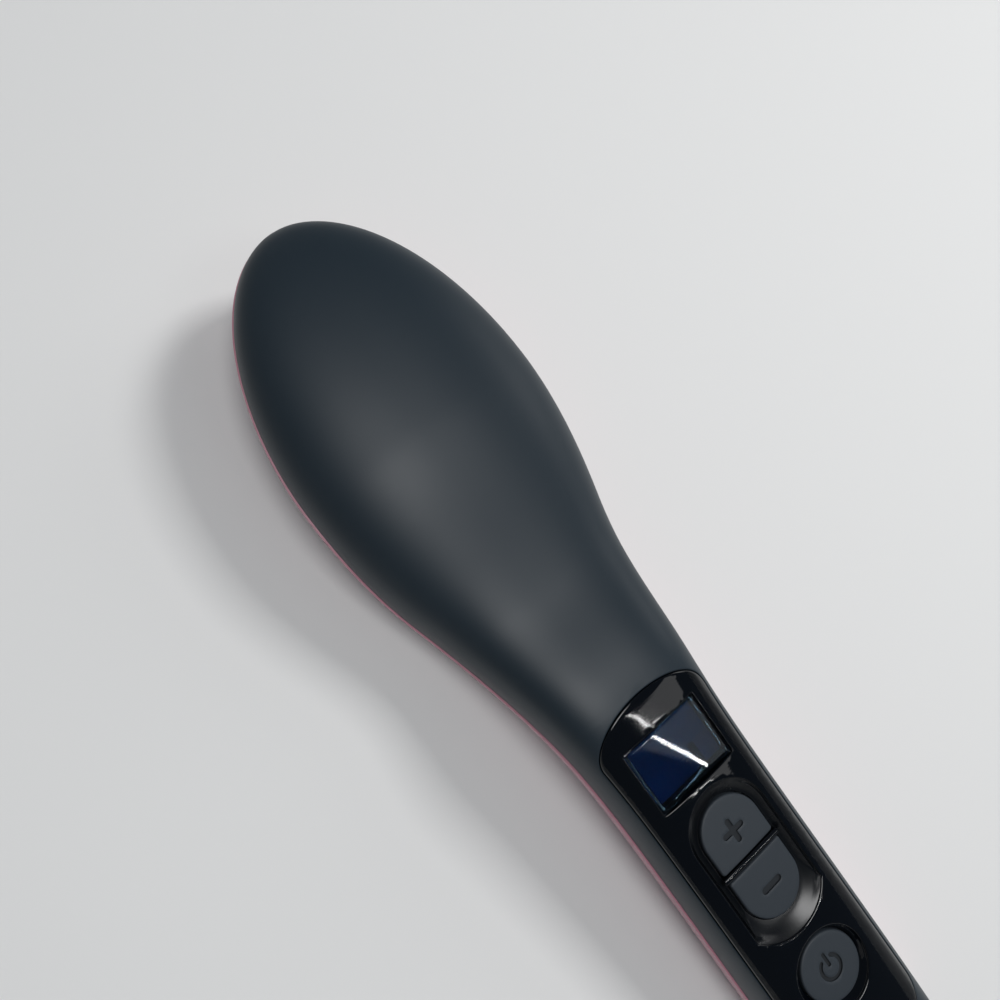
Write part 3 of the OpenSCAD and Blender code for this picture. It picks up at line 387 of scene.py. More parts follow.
def back_shell():
    lip, deep = SEAT_GAP + EDGE_R, PROUD + WALL
    outer = [back_half(s, PROUD, lip) for s in stations(PROUD, lip)]
    # the lip of the panel's bed: a quarter round, then a wall and the bed itself
    profile = [(lip - EDGE_R * out, -EDGE_R * down) for out, down in quarter()]
    profile.append((SEAT_GAP, -PANEL_T - SEAT_GAP))
    edge = [[(panel_half(s, grow), at(s), back_z(panel_half(s, grow), s) + down)
             for s in panel_stations(grow)] for grow, down in profile]
    bed = [[(x * k / 12, y, back_z(x * k / 12, BODY_LEN / 2 - y) - PANEL_T - SEAT_GAP)
            for k in range(-12, 13)] for x, y, z in edge[-1]]
    # the inside of the shell, the land along the parting line and the end at the tail
    body_rows = spread(HEAD_S, TAIL_S, len(outer) - TIP_ROWS - 1)[1:]
    inner = [back_half(s, deep, -1.0) for s in eased(deep, HEAD_S, TIP_ROWS) + body_rows]
    land = [[row[0] for row in rows] for rows in (outer, inner)]
    halves = [lattice(rows) for rows in (outer, edge, inner, land, [outer[-1], inner[-1]])]
    parts = [lattice(bed)] + halves + [mirrored(half) for half in halves]
    for s in SCREW_STATIONS:
        parts.append(boss(0, s, along(SEAM_LINE, s), back_z(BOSS_R, s) - PANEL_T - SEAT_GAP - 0.3))
    for x, s in SHIELD_POINTS:
        for side in (-x, x):
            parts.append(boss(side, s, SHIELD_TOP, back_z(x, s) - WALL / 2, 2.6))
    piece = mesh_piece("back_shell_skin", *joined(*parts))
    cut(piece, *well_windows())
    return piece


shell_back = back_shell()


def linear(code):
    """An sRGB hex colour as the linear values that the shaders take."""
    parts = [int(code[i:i + 2], 16) / 255 for i in (1, 3, 5)]
    return [c / 12.92 if c <= 0.04045 else ((c + 0.055) / 1.055) ** 2.4 for c in parts] + [1.0]


def add(tree, kind, links=(), **settings):
    """Adds a node with its settings, input values and links, and returns it."""
    node = tree.nodes.new(kind)
    for key, value in settings.items():
        if hasattr(node, key):
            setattr(node, key, value)
        else:
            node.inputs[key.replace("_", " ")].default_value = value
    for source, target in links:
        tree.links.new(source, node.inputs[target])
    return node


def new_material(name):
    """A material with nodes, its tree and its output node."""
    material = bpy.data.materials.new(name)
    material.use_nodes = True
    material.node_tree.nodes.clear()
    out = material.node_tree.nodes.new("ShaderNodeOutputMaterial")
    return material, material.node_tree, out


def wear(tree, scale, low, high, detail=4.0):
    """A cloudy factor between low and high; scale is in features per metre."""
    place = add(tree, "ShaderNodeTexCoord")
    noise = add(tree, "ShaderNodeTexNoise", [(place.outputs["Object"], "Vector")],
                Scale=scale, Detail=detail)
    return add(tree, "ShaderNodeMapRange", [(noise.outputs["Fac"], "Value")],
               To_Min=low, To_Max=high)


def grain(tree, scale, depth, strength):
    """Fine bump from noise; depth in metres."""
    place = add(tree, "ShaderNodeTexCoord")
    noise = add(tree, "ShaderNodeTexNoise", [(place.outputs["Object"], "Vector")],
                Scale=scale, Detail=3.0)
    return add(tree, "ShaderNodeBump", [(noise.outputs["Fac"], "Height")],
               Strength=strength, Distance=depth)


def swirl_marks(tree, under, pitch, depth, strength):
    """Wavy wiping scratches over another bump; pitch and depth in metres."""
    place = add(tree, "ShaderNodeTexCoord")
    lines = add(tree, "ShaderNodeTexWave", [(place.outputs["Object"], "Vector")],
                bands_direction="Y", Scale=0.314 / pitch, Distortion=9.0, Detail=2.0,
                Detail_Scale=0.25)
    return add(tree, "ShaderNodeBump", [(lines.outputs["Fac"], "Height"),
                                        (under.outputs["Normal"], "Normal")],
               Strength=strength, Distance=depth)


def finish(name, colour, smear, skin, swirl=(), **shader):
    """A one-colour finish: smear is the roughness's scale, low and high, skin the bump's scale,
    depth and strength."""
    material, tree, out = new_material(name)
    cloud = wear(tree, *smear)
    bump = grain(tree, *skin)
    if swirl:
        bump = swirl_marks(tree, bump, *swirl)
    shade = add(tree, "ShaderNodeBsdfPrincipled",
                [(cloud.outputs["Result"], "Roughness"), (bump.outputs["Normal"], "Normal")],
                Base_Color=linear(colour), **shader)
    tree.links.new(shade.outputs["BSDF"], out.inputs["Surface"])
    return material


# spark-eroded ABS: a blue-black that scatters its highlight over a 0.3 mm grain
black_abs = finish("soft_black_abs", "#19242c", (45.0, 0.42, 0.5), (3300.0, 0.00003, 0.35), IOR=1.5)
shell_back.data.materials.append(black_abs)
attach(shell_back, "brush")
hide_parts("back_shell")

# ---- Front shell -----------------------------------------------------------------------------
# The other half of the body, moulded in satin rose ABS. It stands a little proud of the black
# shell, so its lip shows as a thin line, and it is open round the heated plate.

RIM_IN, OPEN_BEND_S, OPEN_END_S, OPEN_ROUND = 8.5, 96.0, 113.0, 2.4
LIP, LIP_FALL, LIP_SOFT = 0.4, 0.1, 0.25
FILLER_S, PLUG_CAP_R, KEY_GAP = 125.0, 7.0, 0.3
CAP_R, CAP_H, CAP_GAP = 3.0, 1.4, 0.05
CAP_FLOOR = (along(BELLY_LINE, SCREW_STATIONS[0]) + 0.6, 0.3)


def open_half(s, inset):
    """Half the width of the opening for the heated plate, shrunk by inset."""
    tip, end = RIM_IN + inset, OPEN_END_S - inset
    if s < HEAD_S:
        return (HEAD_W / 2 - tip) * max(0.0, 1 - ((HEAD_S - s) / (HEAD_S - tip)) ** 2) ** 0.5
    shut = max(0.0, (s - OPEN_BEND_S) / (end - OPEN_BEND_S))
    return (along(WIDTH_LINE, s) - tip) * max(0.0, 1 - shut ** OPEN_ROUND) ** (1 / OPEN_ROUND)


def open_stations(inset):
    tip, end = RIM_IN + inset, OPEN_END_S - inset
    return (eased(tip, HEAD_S, TIP_ROWS) + spread(HEAD_S, OPEN_BEND_S, 24)[1:]
            + eased(end, OPEN_BEND_S, ARCH_ROWS)[::-1][1:])


def front_half(s, inset, gap, lip=0.0):
    """One row of the front shell, from the parting line down to the middle or the opening."""
    n, m, w = along(ROUND_LINE, s), along(RIM_LINE, s), half_w(s, inset)
    top = seam_angle(s, inset)
    tip, end = RIM_IN - gap, OPEN_END_S + gap
    stop = open_half(s, -gap) if tip <= s <= end else 0.0
    low = math.acos(min(1.0, (stop / w) ** (m / 2))) if w > 0 else math.pi / 2
    row = []
    for k in range(5):
        t = top * (1 - lip) * (1 - k / 4) ** 2
        row.append((w * bulge(math.cos(t), n), at(s),
                    section_z(s, inset) + rise(s, inset) * bulge(math.sin(t), n) - SEAM_GAP))
    for j in range(1, COLUMNS + 1):
        t = low * j / COLUMNS
        z = section_z(s, inset) - drop(s, inset) * bulge(math.sin(t), m)
        row.append((w * bulge(math.cos(t), m), at(s), max(z, 0.0 if inset < 1 else 1.6)))
    return row


def front_stations(inset, gap):
    a, b = RIM_IN - gap, OPEN_END_S + gap
    tip = [inset + (a - inset) * (i / 12) ** 2 for i in range(13)]
    return tip + open_stations(-gap)[1:] + spread(b, TAIL_S, 90)[1:]


def drill(r, s, low, high):
    return mesh_piece("hole", *stack([circle(r, z, 0, at(s)) for z in (low, high)]))


def front_shell():
    outer = [front_half(s, 0.0, LIP, LIP_FALL) for s in front_stations(0.0, LIP)]
    inner = [front_half(s, WALL, -1.0) for s in front_stations(WALL, -1.0)]
    soft = [front_half(s, LIP_SOFT, LIP)[0] for s in front_stations(0.0, LIP)]
    ledge = [front_half(s, WALL, LIP)[0] for s in front_stations(WALL, LIP)]
    land = [[row[0] for row in outer], soft, ledge]
    inner_top = [ledge, [row[0] for row in inner]]
    # the mouth of the opening, rounded outside and square inside
    mouth = []
    for grow, up in ((LIP, 0.0), (LIP * 0.62, 0.05), (LIP * 0.3, 0.16), (0.08, 0.35), (0.0, 0.6),
                     (0.0, WALL)):
        ring = []
        for s in open_stations(-grow):
            x = open_half(s, -grow)
            w, m = half_w(s, 0.0), along(RIM_LINE, s)
            z = section_z(s, 0.0) - drop(s, 0.0) * max(0.0, 1 - (x / w) ** m) ** (1 / m)
            ring.append((x, at(s), z + up))
        mouth.append(ring)
    mouth.append([(open_half(s, 1.0), at(s), front_half(s, WALL, -1.0)[-1][2])
                  for s in open_stations(1.0)])
    tail = [front_half(TAIL_S, 0.0, LIP, LIP_FALL), front_half(TAIL_S, WALL, -1.0)]
    parts = [lattice(rows) for rows in (outer, inner, land, inner_top, mouth, tail)]
    parts += [mirrored(part) for part in parts]
    parts += [boss(0, s, along(SEAM_LINE, s) - SEAM_GAP, floor + 0.4, BOSS_R + 1)
              for s, floor in zip(SCREW_STATIONS, CAP_FLOOR)]
    piece = mesh_piece("front_shell_skin", *joined(*parts))
    holes = [drill(CAP_R + CAP_GAP, s, -3, floor + CAP_H + 2.2)
             for s, floor in zip(SCREW_STATIONS, CAP_FLOOR)]
    cut(piece, *holes, drill(PLUG_CAP_R + KEY_GAP, FILLER_S, 5, 16))
    return piece


shell_front = front_shell()
# satin rose ABS: an even dusty pink with a soft, wide sheen
rose_abs = finish("satin_rose_abs", "#bd8492", (60.0, 0.3, 0.38), (2600.0, 0.00002, 0.2), IOR=1.5)
shell_front.data.materials.append(rose_abs)
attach(shell_front, "brush")
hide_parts("front_shell")

# ---- Control panel ---------------------------------------------------------------------------
# A piano-black inlay, moulded in polished ABS and dropped into the bed of the back shell. It
# has a window for the display, a scooped recess for the two keys and a dish for the power key.

RECESS_HALF, RECESS_ABOVE, ARC_RISE = 11.0, 4.0, 4.8
RECESS_LOW, WELL_LOW, KEY_TOP, BAR_W = -2.3, -5.5, -1.15, 1.5
WINDOW_LOW, WINDOW_T, DISPLAY_LOW = -2.3, 1.2, -4.0
SOFT_EDGE, CRISP_EDGE = 0.45, 0.25
WELL_WALL, FRAME_WALL, SILL = 0.6, 0.75, 1.15
SCOOP_STEPS, SCOOP_CURVE, DISH_STEPS, DISH_DEPTH = 8, 1.35, 5, 1.9


def recess_loop(grow):
    """Mouth of the key recess: round above the keys, a shallow arc below them."""
    half = RECESS_HALF + grow
    arc_r = (RECESS_HALF ** 2 + ARC_RISE ** 2) / (2 * ARC_RISE)
    centre_up = up_grip(KEYS_S) + KEYS_L / 2 + RECESS_ABOVE - RECESS_HALF
    foot = up_grip(POWER_S) + DISH_R + PANEL_LAND
    arc_mid = foot + arc_r
    corner = math.asin(half / (arc_r + grow))
    low = arc_mid - math.sqrt((arc_r + grow) ** 2 - half ** 2)
    loop = [(half * math.cos(a), centre_up + half * math.sin(a)) for a in spread(0, math.pi, 48)]
    loop += [(-half, y) for y in spread(centre_up, low, 24)[1:]]
    loop += [((arc_r + grow) * math.sin(a), arc_mid - (arc_r + grow) * math.cos(a))
             for a in spread(-corner, corner, 36)[1:]]
    loop += [(half, y) for y in spread(low, centre_up, 24)[1:-1]]
    return loop


def slot_loop(grow):
    """The stadium of the two keys, with its points spaced as the recess's mouth has them."""
    half = KEYS_W / 2 + grow
    reach = KEYS_L / 2 - KEYS_W / 2
    mid = up_grip(KEYS_S)
    loop = [(half * math.cos(a), mid + reach + half * math.sin(a)) for a in spread(0, math.pi, 48)]
    loop += [(-half, y) for y in spread(mid + reach, mid - reach, 24)[1:]]
    loop += [(-half * math.cos(a), mid - reach - half * math.sin(a))
             for a in spread(0, math.pi, 36)[1:]]
    loop += [(half, y) for y in spread(mid - reach, mid + reach, 24)[1:-1]]
    return loop


def between(p, q, share):
    """The flat point that lies a share of the way from p to q."""
    return (p[0] + (q[0] - p[0]) * share, p[1] + (q[1] - p[1]) * share)


def box_loop(y, w, h, r, steps=22):
    """A rectangle with rounded corners about (0, y)."""
    u, v = w / 2 - r, h / 2 - r
    loop = []
    for cx, cy, turn, end in ((1, 1, 0, (-u, y + h / 2)), (-1, 1, 90, (-w / 2, y - v)),
                              (-1, -1, 180, (u, y - h / 2)), (1, -1, 270, (w / 2, y + v))):
        for a in spread(math.radians(turn), math.radians(turn + 90), 6):
            loop.append((cx * u + r * math.cos(a), y + cy * v + r * math.sin(a)))
        start = loop[-1]
        loop += [between(start, end, k / steps) for k in range(1, steps)]
    return loop


def inside(point, loop):
    x, y = point
    odd = False
    for (x0, y0), (x1, y1) in zip(loop, loop[1:] + loop[:1]):
        if (y0 > y) != (y1 > y) and x < x0 + (y - y0) * (x1 - x0) / (y1 - y0):
            odd = not odd
    return odd


def sheet(outer, holes, step, place):
    """A skin that fills a flat outline round its holes; place lifts a flat point into space."""
    loops = [outer] + holes
    points, edges = [], []
    for loop in loops:
        k = len(points)
        points += loop
        edges += [(k + i, k + (i + 1) % len(loop)) for i in range(len(loop))]
    xs, ys = [p[0] for p in outer], [p[1] for p in outer]
    near = {}
    for p in points:
        near.setdefault((round(p[0] / 2), round(p[1] / 2)), []).append(p)
    across, down = int((max(xs) - min(xs)) / step[0]), int((max(ys) - min(ys)) / step[1])
    for i in range(1, across):
        for j in range(1, down):
            p = (min(xs) + i * step[0], min(ys) + j * step[1])
            cell = (round(p[0] / 2), round(p[1] / 2))
            close = any((p[0] - q[0]) ** 2 + (p[1] - q[1]) ** 2 < 0.16
                        for a in (-1, 0, 1) for b in (-1, 0, 1)
                        for q in near.get((cell[0] + a, cell[1] + b), []))
            if not close and inside(p, outer) and not any(inside(p, h) for h in holes):
                points.append(p)
    flat, _, faces, *_ = delaunay_2d_cdt([Vector(p) for p in points], edges, [], 0, 1e-5)
    kept = []
    for f in faces:
        middle = (sum(flat[i][0] for i in f) / len(f), sum(flat[i][1] for i in f) / len(f))
        if inside(middle, outer) and not any(inside(middle, h) for h in holes):
            kept.append(list(f))
    return [place(p[0], p[1]) for p in flat], kept


def panel_loop(grow):
    """The panel's outline in the grip's frame."""
    side = []
    for s in panel_stations(grow, 60):
        x = panel_half(s, grow)
        side.append(to_grip((x, at(s), back_z(x, s)))[:2])
    return side + [(-x, y) for x, y in side[-2:0:-1]]


def rim(loop_of, radius):
    """Rings of a rounded edge that turns down into a hole: outer ring on the back first."""
    return [draped(loop_of(radius * (1 - out)), radius * down) for out, down in quarter()]


def control_panel():
    display = lambda g: box_loop(up_grip(DISPLAY_S), DISPLAY_W + 2 * SEAT_GAP + 2 * g,
                                 DISPLAY_L + 2 * SEAT_GAP + 2 * g, 0.5 + max(g, 0))
    power = lambda r: round_loop(0, up_grip(POWER_S), r)
    dish = lambda g: power(DISH_R + g)
    skin = sheet(panel_loop(-SOFT_EDGE), [display(CRISP_EDGE), recess_loop(SOFT_EDGE), dish(SOFT_EDGE)],
                 (0.6, 1.2), on_back)
    edge = rim(lambda g: panel_loop(-g), SOFT_EDGE) + [draped(panel_loop(0), PANEL_T)]
    # the scoop runs from its mouth down to the slot round the keys
    scoop = rim(recess_loop, SOFT_EDGE)
    mouth, foot = recess_loop(0), slot_loop(0.55)
    for k in range(1, SCOOP_STEPS + 1):
        f = k / SCOOP_STEPS
        loop = [between(m, q, f) for m, q in zip(mouth, foot)]
        depth = SOFT_EDGE + (abs(RECESS_LOW) - SOFT_EDGE) * (1 - (1 - f) ** SCOOP_CURVE)
        scoop.append(level(loop, -depth) if k > 1 else draped(loop, depth))
    scoop += [level(slot_loop(g), z) for g, z in
              ((0.4, RECESS_LOW - 0.02), (KEY_GAP, RECESS_LOW - 0.14), (KEY_GAP, WELL_LOW))]
    scoop += [level(recess_loop(WELL_WALL), WELL_LOW), draped(recess_loop(WELL_WALL), PANEL_T)]
    bowl = rim(dish, SOFT_EDGE)
    for k in range(1, DISH_STEPS + 1):
        f = k / DISH_STEPS
        loop = power(DISH_R + (POWER_R + 0.5 - DISH_R) * f)
        depth = SOFT_EDGE + (DISH_DEPTH - SOFT_EDGE) * f
        bowl.append(level(loop, -depth) if k > 1 else draped(loop, depth))
    bowl += [level(power(r), z) for r, z in
             ((POWER_R + KEY_GAP, -2.05), (POWER_R + KEY_GAP, WELL_LOW), (DISH_R + WELL_WALL, WELL_LOW))]
    bowl.append(draped(dish(WELL_WALL), PANEL_T))
    window = rim(display, CRISP_EDGE)
    window += [level(display(g), z) for g, z in ((0, WINDOW_LOW), (-SILL, WINDOW_LOW),
                                                 (-SILL, DISPLAY_LOW), (FRAME_WALL, DISPLAY_LOW))]
    window.append(draped(display(FRAME_WALL), PANEL_T))
    under = sheet(panel_loop(0), [display(FRAME_WALL), recess_loop(WELL_WALL), dish(WELL_WALL)],
                  (1.5, 3.0), lambda x, y: on_back(x, y, PANEL_T))
    # the bar that parts the two keys, with rounded long edges
    profile = [(-BAR_W / 2, WELL_LOW), (-BAR_W / 2, -1.6)]
    profile += [(-BAR_W / 2 * math.cos(a), -1.4 + 0.45 * math.sin(a))
                for a in spread(0, math.pi / 2, 6)]
    profile += [(-u, z) for u, z in profile[-2::-1]]
    bar = [[from_grip(x, up_grip(KEYS_S) + u, z) for u, z in profile]
           for x in spread(-KEYS_W / 2 - 0.5, KEYS_W / 2 + 0.5, 24)]
    rings = [lattice(rows, ring=True) for rows in (edge, scoop, bowl, window)]
    piece = mesh_piece("control_panel_skin", *joined(skin, under, *rings, stack(bar)), smooth=35)
    scoop_mouth, scoop_foot = recess_loop(-0.1), slot_loop(0.45)
    for polygon in piece.data.polygons:
        x, y, z = to_grip(polygon.center / MM)
        if WELL_LOW < z < -0.4 and inside((x, y), scoop_mouth) and not inside((x, y), scoop_foot):
            polygon.material_index = 1
    return piece


panel = control_panel()
# polished ABS: deep black that mirrors the lamps, a little wavy from the sink of the moulding
piano_black = finish("piano_black_abs", "#020408", (120.0, 0.04, 0.09), (160.0, 0.00008, 0.06),
                     (0.0007, 0.00001, 0.1), IOR=1.5)
# the scoop is left satin, so that it shows a broad grey glow and no sharp mirror image
satin_black = finish("satin_black_abs", "#05070a", (120.0, 0.24, 0.32), (1200.0, 0.00002, 0.2), IOR=1.5)
panel.data.materials.append(piano_black)
panel.data.materials.append(satin_black)
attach(panel, "brush")
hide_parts("control_panel")

# ---- Display ---------------------------------------------------------------------------------
# A tinted acrylic lens in the panel's window, over a liquid-crystal cell that is switched off:
# the cell looks deep blue, with a faint darker strip and a paler grey-violet corner of painted sheen.

LENS_CROWN = 0.35


def display_lens():
    lens = lambda g: box_loop(up_grip(DISPLAY_S), DISPLAY_W - 2 * g, DISPLAY_L - 2 * g, 0.45)
    top = WINDOW_LOW + WINDOW_T + LENS_CROWN
    rings = [level(lens(g), z) for g, z in
             ((0.1, WINDOW_LOW), (0, WINDOW_LOW + 0.1), (0, top - 0.25), (0.07, top - 0.07),
              (0.25, top), (1.2, top))]
    return mesh_piece("display_lens_skin", *stack(rings), smooth=30)


# tinted acrylic with a coat against glare: clear deep blue, with the same wiping marks as the
# panel; the low index stands for the coat
acrylic = finish("tinted_acrylic", "#7fa4bc", (90.0, 0.01, 0.03), (170.0, 0.00007, 0.05),
                 (0.0008, 0.00001, 0.06), IOR=1.34, Transmission_Weight=1.0)


def crystal_cell_with_painted_sheen():
    """The cell switched off: even deep blue, a dark strip and beside it a paler corner of painted sheen.
    """
    material, tree, out = new_material("crystal_cell_with_painted_sheen")
    place = add(tree, "ShaderNodeTexCoord")
    apart = add(tree, "ShaderNodeSeparateXYZ", [(place.outputs["Object"], "Vector")])
    across = add(tree, "ShaderNodeMapRange", [(apart.outputs["X"], "Value")],
                 From_Min=-DISPLAY_W / 2 * MM, From_Max=DISPLAY_W / 2 * MM)
    ramp = add(tree, "ShaderNodeValToRGB", [(across.outputs["Result"], "Fac")])
    # the grey-violet right end of the ramp, used in the lower half only, is painted sheen; the band from
    # 0.66 to 0.73 is the darker strip
    ramp.color_ramp.elements[0].color = linear("#103a66")
    ramp.color_ramp.elements[1].color = linear("#3a3a5a")
    for place_at, colour in ((0.64, "#16375f"), (0.66, "#071224"), (0.73, "#071224"), (0.75, "#36385a")):
        ramp.color_ramp.elements.new(place_at).color = linear(colour)
    low_half = add(tree, "ShaderNodeMapRange", [(apart.outputs["Y"], "Value")],
                   From_Min=(at(DISPLAY_S) - 0.6) * MM, From_Max=(at(DISPLAY_S) - 1.2) * MM)
    mix = add(tree, "ShaderNodeMixRGB", [(low_half.outputs["Result"], "Fac"),
                                         (ramp.outputs["Color"], "Color2")], Color1=linear("#12385e"))
    shade = add(tree, "ShaderNodeBsdfPrincipled", [(mix.outputs["Color"], "Base Color")],
                Roughness=0.35, IOR=1.5, Specular_IOR_Level=0.15)
    tree.links.new(shade.outputs["BSDF"], out.inputs["Surface"])
    return material


lens = display_lens()
lens.data.materials.append(acrylic)
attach(lens, "brush")
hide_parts("lcd_window")


def dress(name, material):
    """Gives a CAD node that keeps its own shape its material."""
    mesh = nodes[name].data
    mesh.materials.clear()
    mesh.materials.append(material)


dress("lcd_module", crystal_cell_with_painted_sheen())

# ---- Keys ------------------------------------------------------------------------------------
# Plus and minus are two halves of one stadium, moulded in matte charcoal ABS with their marks
# sunk in. The power key is round. All three end below in a flange and a stem on their switch.

FLANGE_TOP, FLANGE_T, STEM_R, STEM_LOW = -5.8, 1.0, 1.7, -9.1
KEY_EDGE_R, MARK_DEPTH = 0.5, 0.42
KEY_EDGE = BAR_W / 2 + KEY_GAP


def half_key_loop(side, inset):
    """Half of the keys' stadium with rounded corners along the bar."""
    half, reach, r = KEYS_W / 2 - inset, KEYS_L / 2 - KEYS_W / 2, 0.7
    edge = KEY_EDGE + inset
    loop = [(half * math.cos(a), reach + half * math.sin(a)) for a in spread(0, math.pi, 64)]
    loop += [(-half, y) for y in spread(reach, edge + r, 10)[1:]]
    loop += [(-half + r - r * math.cos(a), edge + r - r * math.sin(a))
             for a in spread(0, math.pi / 2, 6)[1:]]
    loop += [(x, edge) for x in spread(-half + r, half - r, 20)[1:]]
    loop += [(half - r + r * math.sin(a), edge + r - r * math.cos(a))
             for a in spread(0, math.pi / 2, 6)[1:]]
    loop += [(half, y) for y in spread(edge + r, reach, 10)[1:-1]]
    return [(x, up_grip(KEYS_S) + side * y) for x, y in loop]


def pill_loop(cx, cy, length, width, angle=0.0, steps=12):
    """A stadium about (cx, cy) whose length runs along the brush, turned by angle."""
    r, reach = width / 2, (length - width) / 2
    loop = [(r * math.cos(a), reach + r * math.sin(a)) for a in spread(0, math.pi, steps)]
    loop += [(-r * math.cos(a), -reach - r * math.sin(a)) for a in spread(0, math.pi, steps)]
    c, s = math.cos(angle), math.sin(angle)
    return [(cx + x * c - y * s, cy + x * s + y * c) for x, y in loop]


def plus_loop(cx, cy, length, width, inset=0.0):
    """A plus with round ends and small round inner corners."""
    r, reach, nook = width / 2, length / 2 - width / 2, 0.25
    arm = []
    for turn in range(4):
        points = [(r * math.cos(a), reach + r * math.sin(a)) for a in spread(0, math.pi, 10)]
        points += [(-r - nook + nook * math.cos(a), r + nook - nook * math.sin(a))
                   for a in spread(0, math.pi / 2, 4)]
        c, s = math.cos(turn * math.pi / 2), math.sin(turn * math.pi / 2)
        arm += [(cx + (x * c - y * s) * (1 - inset), cy + (x * s + y * c) * (1 - inset))
                for x, y in points]
    return arm


def crown_of(mid, low=0.25, reach=16.0):
    """The slight swell of a key's top about its middle."""
    def height(x, y):
        return from_grip(x, y, KEY_TOP - low * ((x / 8.3) ** 2 * 0.6 + ((y - mid) / reach) ** 2))
    return height


def key_piece(name, loop_of, marks, mid, stem_y, flange):
    """A key: swelled top round its sunk marks, rounded edge, skirt, flange and stem."""
    top = crown_of(mid)
    low = FLANGE_TOP - FLANGE_T
    stem = round_loop(0, stem_y, STEM_R, 32)

    def sunk(x, y, down, slant=0.0):
        """A point of the top moved down, straight or square to the panel."""
        px, py, pz = top(x, y)
        return (px, py + down * math.sin(slant), pz - down * math.cos(slant))

    rings = [[sunk(x, y, KEY_EDGE_R * down, TILT) for x, y in loop_of(KEY_EDGE_R * (1 - out))]
             for out, down in quarter(5)]
    rings += [level(loop_of(0), FLANGE_TOP), level(loop_of(-flange), FLANGE_TOP),
              level(loop_of(-flange), low)]
    parts = [sheet(loop_of(KEY_EDGE_R), [mark(0.08) for mark in marks], (0.7, 0.7), top),
             lattice(rings, ring=True),
             sheet(loop_of(-flange), [stem], (1.5, 1.5), lambda x, y: from_grip(x, y, low)),
             lattice([level(stem, low), level(stem, STEM_LOW)], ring=True),
             (level(stem, STEM_LOW), [list(range(len(stem)))])]
    for mark in marks:
        parts.append(lattice([[sunk(x, y, down) for x, y in mark(g)] for g, down in
                              ((0.08, 0.0), (0.03, 0.03), (0.0, 0.1), (-0.04, MARK_DEPTH))], ring=True))
        parts.append(sheet(mark(-0.04), [], (0.5, 0.5), lambda x, y: sunk(x, y, MARK_DEPTH)))
    piece = mesh_piece(name, *joined(*parts), smooth=38)
    # the faces of the sunk marks take the darker second material: painted shade in the recesses
    for polygon in piece.data.polygons:
        x, y, z = to_grip(polygon.center / MM)
        if KEY_TOP - 2 * MARK_DEPTH < z < KEY_TOP - MARK_DEPTH / 3:
            if any(inside((x, y), mark(0.04)) for mark in marks):
                polygon.material_index = 1
    return piece


# spark-eroded charcoal ABS: dull dark grey with a sandy 0.25 mm grain
charcoal = finish("charcoal_abs", "#2a3036", (150.0, 0.48, 0.6), (4200.0, 0.00003, 0.5), IOR=1.5)
# the same resin in the sunk marks, duller where the tool was left rough; its darker colour is painted
# shade in the recesses
marks_painted_shade_charcoal = finish("rough_charcoal_painted_shade", "#1b1f23", (150.0, 0.7, 0.8), (3000.0, 0.00004, 0.6),
                       IOR=1.5)
PLUS_SHIFT = KEYS_L / 4 + BAR_W / 4
key_mid = up_grip(KEYS_S)
plus_mark = lambda g: plus_loop(0, key_mid + PLUS_SHIFT - 0.6, 6.3 + 2 * g, 1.4 + 2 * g)
minus_mark = lambda g: pill_loop(0, key_mid - PLUS_SHIFT, 6.0 + 2 * g, 1.7 + 2 * g, math.pi / 2)
plus_key = key_piece("plus_key_cap", lambda g: half_key_loop(1, g), [plus_mark], key_mid,
                     key_mid + PLUS_SHIFT, 1.2)
minus_key = key_piece("minus_key_cap", lambda g: half_key_loop(-1, g), [minus_mark], key_mid,
                      key_mid - PLUS_SHIFT, 1.2)


def ring_mark(g):
    """The broken ring of the power mark, open towards the head."""
    r, w, gap = 2.8, 0.48 + g, math.radians(34)
    a0, a1 = math.pi / 2 + gap, math.pi * 2.5 - gap
    mid = up_grip(POWER_S)
    loop = [((r + w) * math.cos(a), mid + (r + w) * math.sin(a)) for a in spread(a0, a1, 36)]
    end = (r * math.cos(a1), mid + r * math.sin(a1))
    loop += [(end[0] + w * math.cos(a1 + b), end[1] + w * math.sin(a1 + b))
             for b in spread(0, math.pi, 8)[1:-1]]
    loop += [((r - w) * math.cos(a), mid + (r - w) * math.sin(a)) for a in spread(a1, a0, 36)]
    end = (r * math.cos(a0), mid + r * math.sin(a0))
    loop += [(end[0] + w * math.cos(a0 + math.pi + b), end[1] + w * math.sin(a0 + math.pi + b))
             for b in spread(0, math.pi, 8)[1:-1]]
    return loop


bar_mark = lambda g: pill_loop(0, up_grip(POWER_S) + 2.2, 3.8 + 2 * g, 0.9 + 2 * g)
power_key = key_piece("power_key_cap", lambda g: round_loop(0, up_grip(POWER_S), POWER_R - g),
                      [ring_mark, bar_mark], up_grip(POWER_S), up_grip(POWER_S), 1.3)
for piece, body, node in ((plus_key, "plus_key", "plus_button"),
                          (minus_key, "minus_key", "minus_button"),
                          (power_key, "power_key", "power_button")):
    piece.data.materials.append(charcoal)
    piece.data.materials.append(marks_painted_shade_charcoal)
    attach(piece, body)
    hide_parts(node)

# ---- Heated plate ----------------------------------------------------------------------------
# Die-cast aluminium with a rose ceramic coat: a flat plate with its steam vents and rows of
# tapered teeth that stand on it. A cool tip of black nylon is pressed on each tooth.

